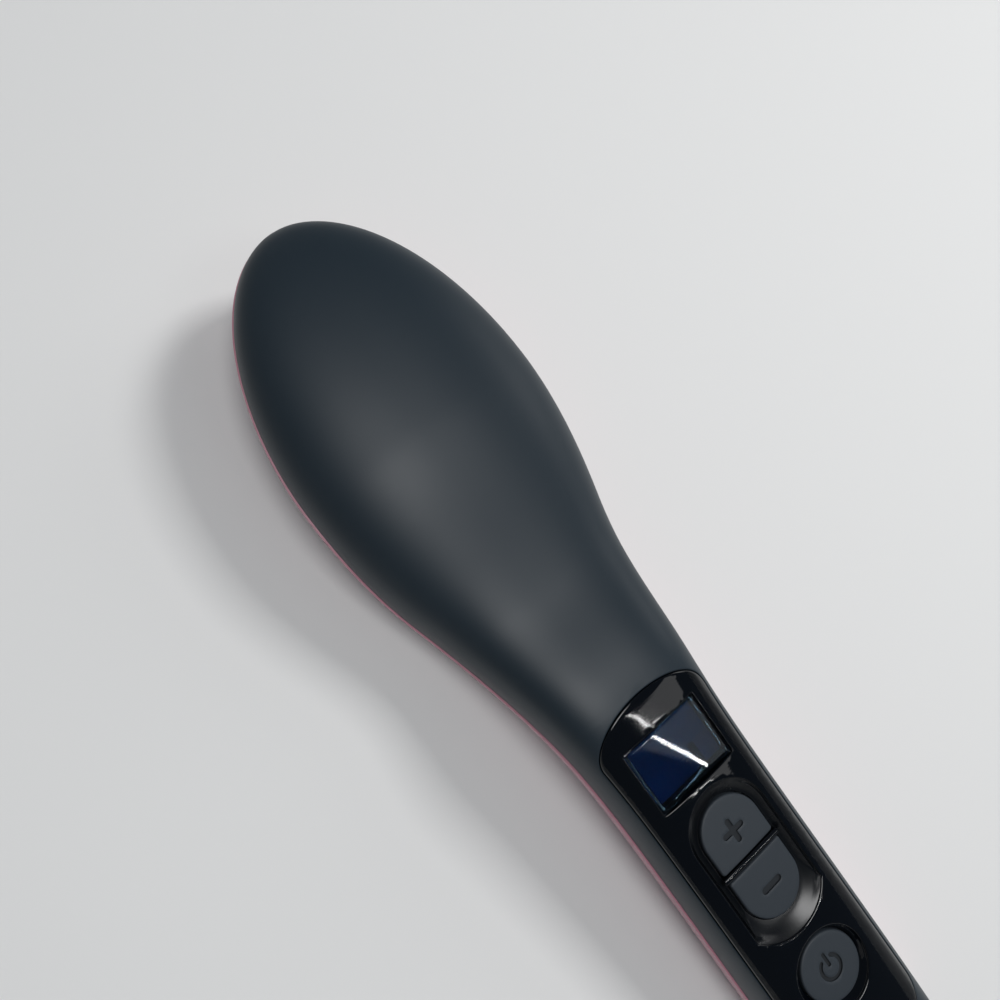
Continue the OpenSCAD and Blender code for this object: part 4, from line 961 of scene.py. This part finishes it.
PLATE_LOW, PLATE_TOP, SHIELD_Z = RIM_Z + 0.3, RIM_Z + 2.3, 19.6
RING_W, COLUMN_PITCH, TOOTH_PITCH = 5.5, 7.5, 9.0
TOOTH_L, TOOTH_T, TOOTH_LOW, TIP_LOW = 6.0, 2.2, 3.6, 0.6
VENT_STATIONS = (36, 45, 54, 63, 72, 81, 90)
PLATE_SCREWS = ((0, 23.5), (16.9, 60), (-16.9, 60), (-5.5, 101))


def open_loop(inset):
    """The whole outline of the opening, shrunk by inset."""
    side = [(open_half(s, inset), at(s)) for s in open_stations(inset)]
    return side + [(-x, y) for x, y in side[-2:0:-1]]


def tooth_places():
    places = []
    for column in range(-2, 3):
        x = column * COLUMN_PITCH
        shift = TOOTH_PITCH / 2 if column % 2 else 0
        for i in range(-6, 7):
            y = at(58) + i * TOOTH_PITCH + shift
            s = BODY_LEN / 2 - y
            far = s - TOOTH_L / 2 if s < HEAD_S else s + TOOTH_L / 2
            if 20 < far < 105 and open_half(far, RING_W + SEAT_GAP) > abs(x) + 2.4:
                places.append((x, y))
    return places


def heater_plate():
    outline = lambda g: open_loop(RING_W + SEAT_GAP + g)
    wide, vents = [[round_loop(side * COLUMN_PITCH / 2, at(s), r, 24)
                    for s in VENT_STATIONS for side in (-1, 1)] for r in (1.3, 1.0)]
    parts = [sheet(outline(0.3), wide, (2.0, 2.0), lambda x, y: (x, y, PLATE_LOW)),
             sheet(outline(0.0), vents, (2.0, 2.0), lambda x, y: (x, y, PLATE_TOP)),
             lattice([flat(outline(g), z) for g, z in
                      ((0.3, PLATE_LOW), (0.1, PLATE_LOW + 0.1), (0.0, PLATE_LOW + 0.3),
                       (0.0, PLATE_TOP))], ring=True)]
    for low, top in zip(wide, vents):
        parts.append(lattice([flat(low, PLATE_LOW), flat(top, PLATE_LOW + 0.3), flat(top, PLATE_TOP)],
                             ring=True))
    for x, s in PLATE_SCREWS:
        parts.append(lathe(((1.25, PLATE_TOP + 0.2), (1.25, SHIELD_Z), (2.2, SHIELD_Z),
                            (2.2, PLATE_TOP + 0.3), (2.6, PLATE_TOP - 0.1)), x, at(s), 24))
    return mesh_piece("heater_plate_cast", *joined(*parts), smooth=35)


def on_teeth(profile):
    """One stadium form on every tooth, from pairs of growth and height."""
    return joined(*[stack([flat(pill_loop(x, y, TOOTH_L + g, TOOTH_T + g), z) for g, z in profile])
                    for x, y in tooth_places()])


def tooth_rows():
    """Teeth with a rounded root and a little draft towards the tip."""
    profile = ((1.2, PLATE_LOW + 0.1), (0.9, PLATE_LOW - 0.08), (0.5, PLATE_LOW - 0.3),
               (0.25, PLATE_LOW - 0.7), (0.15, PLATE_LOW - 1.3), (-0.1, TOOTH_LOW))
    return mesh_piece("comb_teeth_cast", *on_teeth(profile), smooth=45)


def tip_rows():
    """Cool tips: a short collar round the tooth and a rounded end."""
    profile = [(0.5, TOOTH_LOW), (0.6, TOOTH_LOW - 0.12), (0.6, TIP_LOW + 1.1)]
    profile += [(0.6 - 1.9 * down, TIP_LOW + 1.1 - 1.1 * out) for out, down in quarter(6)[1:]]
    return mesh_piece("tooth_tips_cap", *on_teeth(profile), smooth=60)


# sprayed ceramic: an even rose tone with a fine sparkle and a soft, low gloss
ceramic = finish("rose_ceramic", "#c4748a", (90.0, 0.26, 0.36), (3800.0, 0.00002, 0.35), Metallic=0.35)
# moulded nylon: near black, dull, with a faint orange-peel skin
nylon = finish("black_nylon", "#191a1c", (180.0, 0.42, 0.52), (2400.0, 0.00003, 0.3), IOR=1.53)
for piece, node, material, slot in (
        (heater_plate(), "heater_plate", ceramic, "pink_ceramic"),
        (tooth_rows(), "comb_teeth", ceramic, "pink_ceramic"),
        (tip_rows(), "tooth_tips", nylon, "tip_black")):
    piece.data.materials.append(material)
    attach(piece, "brush")
    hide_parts(node)

# ---- Bristle ring ----------------------------------------------------------------------------
# A moulded nylon frame snapped into the opening of the front shell. Its round pins carry balls
# that keep the heated teeth off the scalp.

RING_LOW, FLANGE_Z = RIM_Z - 0.2, 16.4
PIN_R, BALL_R, PIN_ROWS, PIN_START, PIN_PITCH = 0.9, 1.2, 15, 4.5, 6.6
PIN_MID = RING_W / 2 + SEAT_GAP


def bristle_ring():
    soft, catch = 0.7, (-1.4, FLANGE_Z + 1.2)
    profile = [catch, (-1.4, FLANGE_Z), (SEAT_GAP, FLANGE_Z)]
    profile += [(SEAT_GAP + soft * down, RING_LOW + soft - soft * out) for out, down in quarter(5)]
    profile += [(RING_W - soft + soft * out, RING_LOW + soft * down) for out, down in quarter(5)]
    profile += [(RING_W, RING_LOW + 2), (1.8, RING_LOW + 2), (1.8, FLANGE_Z + 1.2), catch]
    return mesh_piece("bristle_ring_frame", *lattice(
        [flat(open_loop(inset), z) for inset, z in profile], ring=True), smooth=40)


def pin_rows():
    """Pins with a rounded root, a slight taper and a ball."""
    rows = [RIM_IN + PIN_START + i * PIN_PITCH for i in range(PIN_ROWS)]
    points = [(side * open_half(s, PIN_MID), s) for s in rows for side in (-1, 1)]
    points += [(0, RIM_IN + PIN_MID), (0, OPEN_END_S - PIN_MID)]
    neck = math.acos((PIN_R - 0.15) / BALL_R)
    profile = [(PIN_R + 0.6, RING_LOW + 0.02), (PIN_R + 0.3, RING_LOW - 0.1),
               (PIN_R + 0.1, RING_LOW - 0.4), (PIN_R, RING_LOW - 0.9)]
    profile += [(BALL_R * math.cos(a), BALL_R + BALL_R * math.sin(a))
                for a in spread(neck, -math.pi / 2 + 0.01, 14)]
    pins = [lathe(profile, x, at(s), 20) for x, s in points]
    return mesh_piece("outer_pins_ball", *joined(*pins), smooth=60)


for piece, node in ((bristle_ring(), "bristle_ring"), (pin_rows(), "outer_pins")):
    piece.data.materials.append(nylon)
    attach(piece, "brush")
    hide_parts(node)

# ---- Caps and filler plug --------------------------------------------------------------------
# Two press-in caps hide the housing screws. The water is filled in behind a plug with a grip
# bar, pulled straight out of the neck of the tank. All are moulded in the rose of the shell.

NECK_LOW, TANK_Z = 11.4, 15.2
PLUG_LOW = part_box("filler_plug")[0].z / MM
PLUG_NECK_R, SEAL_R = 3.0, 2.2


def screw_caps():
    parts = []
    for s, low in zip(SCREW_STATIONS, CAP_FLOOR):
        r, soft = CAP_R, 0.3
        profile = [(r - 0.9, low + 0.12), (r - 0.8, low)]
        profile += [(r - soft + soft * out, low + soft * down) for out, down in quarter()]
        profile += [(r, low + CAP_H)]
        parts.append(lathe(profile, 0, at(s)))
    return mesh_piece("screw_caps_button", *joined(*parts), smooth=35)


def filler_plug():
    """A cap with a dished face and a grip bar, and a neck with a groove for its seal."""
    top, soft = NECK_LOW - 0.3, 0.5
    profile = [(0.0, PLUG_LOW + 0.9), (4.4, PLUG_LOW + 0.8), (5.2, PLUG_LOW + 0.4),
               (5.5, PLUG_LOW + 0.1), (5.8, PLUG_LOW)]
    profile += [(PLUG_CAP_R - soft + soft * out, PLUG_LOW + soft * down) for out, down in quarter()]
    profile += [(PLUG_CAP_R, top), (PLUG_NECK_R, top), (PLUG_NECK_R, TANK_Z - 2), (SEAL_R, TANK_Z - 2),
                (SEAL_R, TANK_Z - 1), (PLUG_NECK_R, TANK_Z - 1), (PLUG_NECK_R, TANK_Z - 0.7),
                (PLUG_NECK_R - 0.3, TANK_Z - 0.4)]
    cap = lathe(profile, 0, at(FILLER_S), 64)
    bar = stack([flat(pill_loop(0, at(FILLER_S), 8.6 + g, 1.6 + g, math.pi / 2), z) for g, z in
                 ((0.5, PLUG_LOW + 1.0), (0.15, PLUG_LOW + 0.7), (0.0, PLUG_LOW + 0.35),
                              (-0.2, PLUG_LOW + 0.12), (-0.6, PLUG_LOW + 0.02))])
    return mesh_piece("filler_plug_cap", *joined(cap, bar), smooth=35)


for piece, body, node in ((screw_caps(), "brush", "screw_caps"), (filler_plug(), "plug", "filler_plug")):
    piece.data.materials.append(rose_abs)
    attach(piece, body)
    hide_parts(node)

# ---- End collar and cord gland ---------------------------------------------------------------
# The shells end in a moulded collar that turns from their section into a round mouth. A gland
# for the cord turns in it in a plain nylon bearing.

SWIVEL_Z = along(CROWN_LINE, TAIL_S) / 2
COLLAR_LEN, COLLAR_END_R, BEARING_R, SWIVEL_R, CORD_R = 10.0, 9.6, 8.0, 6.0, 3.2
BEARING_S0, COLLAR_S1 = TAIL_S - 5, TAIL_S + COLLAR_LEN
RUN_GAP = 0.06


def tail_ring(inset, count=96):
    ring = []
    for i in range(count):
        t = 2 * math.pi * i / count
        up = t < math.pi
        n = 3.6 if up else 2.4
        h = rise(TAIL_S, inset) if up else drop(TAIL_S, inset)
        ring.append((half_w(TAIL_S, inset) * bulge(math.cos(t), n),
                     max(0.0, section_z(TAIL_S, inset) + h * bulge(math.sin(t), n))))
    return ring


def upright(points, s):
    return [(x, at(s), z) for x, z in points]


def mouth_ring(r):
    return round_loop(0, SWIVEL_Z, r)


def turned(profile):
    """Rings round the gland's line, from pairs of radius and station."""
    return [upright(mouth_ring(r), s) for r, s in profile]


def end_collar():
    soft, groove, neck_r = 0.4, 0.15, BEARING_R + 1.3
    bore, seat = BEARING_R + SEAM_GAP, TAIL_S + groove
    rows = turned(((bore, BEARING_S0), (neck_r, BEARING_S0), (neck_r, seat)))
    rows += [upright(tail_ring(PROUD + soft * (1 - out)), seat + soft * down) for out, down in quarter()]
    wide, round_end = tail_ring(PROUD), mouth_ring(COLLAR_END_R)
    start = math.asin((groove + soft) / COLLAR_LEN)
    for a in spread(start, math.radians(80), 14)[1:]:
        rows.append(upright([between(p, q, 1 - math.cos(a)) for p, q in zip(wide, round_end)],
                            TAIL_S + COLLAR_LEN * math.sin(a)))
    rows += turned(((COLLAR_END_R - 0.25, COLLAR_S1 - 0.05), (COLLAR_END_R - 0.6, COLLAR_S1),
                    (bore + 0.2, COLLAR_S1), (bore, COLLAR_S1 - 0.2), (bore, BEARING_S0)))
    return mesh_piece("end_collar_mould", *lattice(rows, ring=True), smooth=35)


def swivel_bearing():
    bore = SWIVEL_R + RUN_GAP
    rows = turned(((bore, BEARING_S0), (BEARING_R - 0.2, BEARING_S0), (BEARING_R, BEARING_S0 + 0.2),
                   (BEARING_R, COLLAR_S1 - 0.3), (BEARING_R - 0.3, COLLAR_S1),
                   (bore + 0.3, COLLAR_S1), (bore, COLLAR_S1 - 0.3), (bore, BEARING_S0)))
    return mesh_piece("swivel_bearing_bush", *lattice(rows, ring=True), smooth=35)


def cord_gland():
    """The gland: a flange inside, a shaft, and an outer end that tapers over three ribs."""
    inner = BEARING_S0 - 2.3
    gland = COLLAR_S1 + 0.3
    profile = [(CORD_R, inner), (BEARING_R - 0.5, inner), (BEARING_R - 0.4, inner + 0.1),
               (BEARING_R - 0.4, inner + 2), (SWIVEL_R, inner + 2), (SWIVEL_R, gland),
               (BEARING_R - 0.3, gland), (BEARING_R, gland + 0.3), (BEARING_R, gland + 1.4)]
    edge = lambda s: BEARING_R - 2.6 * ((s - gland - 1.4) / (BODY_LEN - gland - 1.4)) ** 1.2
    for k in range(3):
        s = gland + 1.7 + k * 1.9
        profile += [(edge(s) - 0.05, s), (edge(s) - 0.6, s + 0.15), (edge(s) - 0.6, s + 0.75),
                    (edge(s + 0.9), s + 0.9)]
    profile += [(edge(BODY_LEN) + 0.1, BODY_LEN - 0.3), (edge(BODY_LEN) - 0.3, BODY_LEN),
                (CORD_R + 0.4, BODY_LEN), (CORD_R, BODY_LEN - 0.4), (CORD_R, inner)]
    return mesh_piece("cord_gland_turned", *lattice(turned(profile), ring=True), smooth=35)


# unfilled nylon as moulded: milky, slightly translucent, with soft edges
bearing_nylon = finish("natural_nylon", "#cfccc0", (140.0, 0.38, 0.5), (1800.0, 0.00002, 0.3), IOR=1.53,
                       Subsurface_Weight=0.2, Subsurface_Radius=(0.001, 0.001, 0.0008))
for piece, body, node, material, slot in (
        (end_collar(), "brush", "end_collar", black_abs, "black_shell"),
        (swivel_bearing(), "brush", "swivel_bearing", bearing_nylon, "natural_plastic"),
        (cord_gland(), "gland", "cord_swivel", nylon, "tip_black")):
    piece.data.materials.append(material)
    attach(piece, body)
    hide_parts(node)

# ---- Heater and steam parts ------------------------------------------------------------------
# Behind the plate: two ceramic heating bars in mica under a spring clamp, a cast steam chamber
# and a shield of filled resin; above it the welded water tank, its pump and two hoses.


def pattern(name, kind, colours, scale, smear, skin, metal=0.0, **shader):
    """A finish whose colour wanders between two tones; kind is noise, or waves for flow marks."""
    material, tree, out = new_material(name)
    place = add(tree, "ShaderNodeTexCoord")
    figure = add(tree, kind, [(place.outputs["Object"], "Vector")], Scale=scale)
    ramp = add(tree, "ShaderNodeValToRGB", [(figure.outputs["Fac"], "Fac")])
    for stop, colour in zip(ramp.color_ramp.elements, colours):
        stop.color = linear(colour)
    cloud, bump = wear(tree, *smear), grain(tree, *skin)
    shade = add(tree, "ShaderNodeBsdfPrincipled",
                [(ramp.outputs["Color"], "Base Color"), (cloud.outputs["Result"], "Roughness"),
                 (bump.outputs["Normal"], "Normal")], Metallic=metal, **shader)
    tree.links.new(shade.outputs["BSDF"], out.inputs["Surface"])
    return material


NOISE, WAVES = "ShaderNodeTexNoise", "ShaderNodeTexWave"
# phlogopite mica: brown-gold flakes, a few millimetres wide, with a pearly face
mica = pattern("phlogopite_mica", NOISE, ("#8a6a3c", "#c9a86c"), 380.0, (200.0, 0.2, 0.4),
               (900.0, 0.00003, 0.4), IOR=1.58)
# PTC bars in polyimide film: dark grey with a smooth amber cast
ptc_bar = pattern("filmed_ptc_bar", NOISE, ("#4c4a46", "#5b5148"), 160.0, (150.0, 0.22, 0.34),
                  (500.0, 0.00002, 0.3), IOR=1.6)
# glass-filled PPS: tan, with streaks where the melt flowed
filled_pps = pattern("glass_filled_pps", WAVES, ("#a98d64", "#b79c74"), 60.0, (90.0, 0.5, 0.62),
                     (2500.0, 0.00003, 0.4), IOR=1.6)
# die-cast aluminium: dull silver with a cold-skin mottle a few millimetres wide
cast_aluminium = pattern("die_cast_aluminium", NOISE, ("#a4a6a8", "#bcbec0"), 300.0,
                         (220.0, 0.34, 0.5), (1600.0, 0.00004, 0.5), metal=1.0)
# zinc-plated steel: bluish silver with a faint passivation haze
zinc_steel = pattern("zinc_plated_steel", NOISE, ("#b8bcc2", "#cdcbb8"), 420.0,
                     (260.0, 0.2, 0.34), (2200.0, 0.00001, 0.2), metal=1.0)
# clear polycarbonate: colourless, with a slight waviness from the mould
clear_pc = finish("clear_polycarbonate", "#eef2f4", (80.0, 0.03, 0.08), (240.0, 0.00005, 0.1),
                  IOR=1.58, Transmission_Weight=1.0)
# EPDM rubber: black and dull, slightly bloomed
epdm = finish("epdm_rubber", "#1c1c1c", (240.0, 0.62, 0.78), (1900.0, 0.00002, 0.3), IOR=1.5)
# translucent silicone: milky white hose with a soft gloss
silicone = finish("milky_silicone", "#dfe2e0", (120.0, 0.3, 0.42), (700.0, 0.00002, 0.2), IOR=1.41,
                  Subsurface_Weight=0.5, Subsurface_Radius=(0.002, 0.002, 0.002))
# moulded epoxy: matte black, as on switches, chips and beads
epoxy = finish("moulded_epoxy", "#1d1e20", (260.0, 0.5, 0.64), (3000.0, 0.00002, 0.4), IOR=1.55)
for material, names in (
        (ptc_bar, ("heating_element",)), (mica, ("mica_sheet",)), (epoxy, ("thermistor",)),
        (zinc_steel, ("heater_clamp", "plate_screws", "thermal_fuse", "shield_screws", "pump_motor")),
        (cast_aluminium, ("steam_chamber",)), (filled_pps, ("heat_shield",)),
        (clear_pc, ("water_tank", "tank_lid")), (epdm, ("plug_seal",)),
        (silicone, ("suction_tube", "delivery_tube")), (bearing_nylon, ("pump_head",))):
    for name in names:
        dress(name, material)

# ---- Boards and wiring -----------------------------------------------------------------------
# The key and display board lies under the panel, the power board low in the grip. Glass-cloth
# laminate under green solder mask, screwed to bosses; leads in silicone and PTFE join them.

# solder mask over glass cloth: green with the faint 0.5 mm check of the weave under it
solder_mask = pattern("green_solder_mask", WAVES, ("#1d5433", "#24603a"), 300.0,
                      (160.0, 0.24, 0.36), (2000.0, 0.00002, 0.3), IOR=1.55)
# polyester film capacitor case: mustard yellow, smooth
yellow_case = finish("yellow_polyester", "#c79e26", (180.0, 0.3, 0.42), (1500.0, 0.00002, 0.3), IOR=1.55)
# glazed steatite: an off-white tube with a slight gloss
steatite = finish("glazed_steatite", "#d8d4c8", (200.0, 0.16, 0.28), (900.0, 0.00001, 0.2), IOR=1.6)
# polyamide terminal block: mid green, satin
green_nylon = finish("green_polyamide", "#3f7f4f", (150.0, 0.36, 0.48), (2200.0, 0.00002, 0.3), IOR=1.53)
# silicone lead insulation: brick red, dull and slightly dusty
red_silicone = finish("red_silicone", "#a8322a", (200.0, 0.46, 0.6), (1600.0, 0.00002, 0.3), IOR=1.42)
# PTFE lead insulation: white and waxy
white_ptfe = finish("white_ptfe", "#e6e6e0", (200.0, 0.36, 0.46), (1600.0, 0.00001, 0.2), IOR=1.36)
for material, names in (
        (bearing_nylon, ("lcd_holder", "switch_stem_plus", "switch_stem_minus", "switch_stem_power")),
        (solder_mask, ("main_board", "power_board")), (epoxy, ("board_parts", "key_switches", "triac")),
        (yellow_case, ("power_capacitor",)), (steatite, ("line_fuse",)),
        (green_nylon, ("terminal_block",)), (zinc_steel, ("board_screws", "housing_screws")),
        (red_silicone, ("heater_leads",)), (white_ptfe, ("sensor_leads",))):
    for name in names:
        dress(name, material)

# ---- Studio ----------------------------------------------------------------------------------
# A pale paper table that curves up far behind the brush. A round soft box hangs overhead, a
# window and a smaller lamp stand on the right, and the gloss mirrors a dim card and a thin tube.

FLAT_R, BOWL_R, BOWL_H = 1.0, 1.7, 0.7


def paper_table():
    profile = [(0.02, 0.0), (0.3, 0.0), (FLAT_R, 0.0)]
    profile += [(FLAT_R + (BOWL_R - FLAT_R) * math.sin(a), BOWL_H * (1 - math.cos(a)))
                for a in spread(0, math.pi / 2, 24)[1:]]
    verts, faces = lattice([circle(r / MM, z / MM) for r, z in profile], ring=True)
    faces.append(list(range(64)))
    return mesh_piece("table", verts, [face[::-1] for face in faces])


def matte_paper():
    """Uncoated paper: flat white-grey with a faint fibre. It can be seen through from below."""
    material, tree, out = new_material("matte_paper")
    cloud = wear(tree, 25.0, 0.75, 0.85)
    bump = grain(tree, 1500.0, 0.00002, 0.15)
    sheet_side = add(tree, "ShaderNodeBsdfPrincipled",
                     [(cloud.outputs["Result"], "Roughness"), (bump.outputs["Normal"], "Normal")],
                     Base_Color=linear("#dededd"))
    clear_side = add(tree, "ShaderNodeBsdfTransparent")
    facing = add(tree, "ShaderNodeNewGeometry")
    mix = add(tree, "ShaderNodeMixShader", [(facing.outputs["Backfacing"], "Fac")])
    tree.links.new(sheet_side.outputs["BSDF"], mix.inputs[1])
    tree.links.new(clear_side.outputs["BSDF"], mix.inputs[2])
    tree.links.new(mix.outputs["Shader"], out.inputs["Surface"])
    return material


table = paper_table()
for polygon in table.data.polygons:
    if polygon.normal.z < 0:
        polygon.flip()
table.data.update()
table.data.materials.append(matte_paper())

LIT_FROM = Vector(from_grip(0, up_grip(DISPLAY_S), 0)) * MM


def soft_box(name, azimuth, elevation, distance, size, watts, shape="RECTANGLE"):
    """An area lamp in the given direction from the display, in degrees and metres."""
    a, e = math.radians(azimuth), math.radians(elevation)
    away = Vector((math.cos(e) * math.cos(a), math.cos(e) * math.sin(a), math.sin(e)))
    lamp = bpy.data.lights.new(name, "AREA")
    lamp.shape = shape
    lamp.size, lamp.size_y = size
    lamp.energy = watts
    holder = bpy.data.objects.new(name, lamp)
    holder.location = LIT_FROM + away * distance
    holder.rotation_euler = (-away).to_track_quat("-Z", "Y").to_euler()
    holder.visible_camera = False
    bpy.context.scene.collection.objects.link(holder)
    return holder


soft_box("overhead", 120, 87, 0.95, (0.44, 0.44), 4.1, shape="ELLIPSE")
soft_box("window", 4, 26, 1.25, (0.7, 0.4), 1.8)
# it shades the table, but no gloss mirrors it
soft_box("side", 2, 46, 1.25, (0.3, 0.3), 8.0).visible_glossy = False
soft_box("card", -45, 53, 1.3, (0.55, 0.36), 0.6)
soft_box("tube", -64.6, 59.0, 1.3, (0.004, 0.33), 0.4)

world = bpy.data.worlds.new("room")
bpy.context.scene.world = world
world.use_nodes = True
world.node_tree.nodes["Background"].inputs["Color"].default_value = linear("#8c98a6")
world.node_tree.nodes["Background"].inputs["Strength"].default_value = 0.24
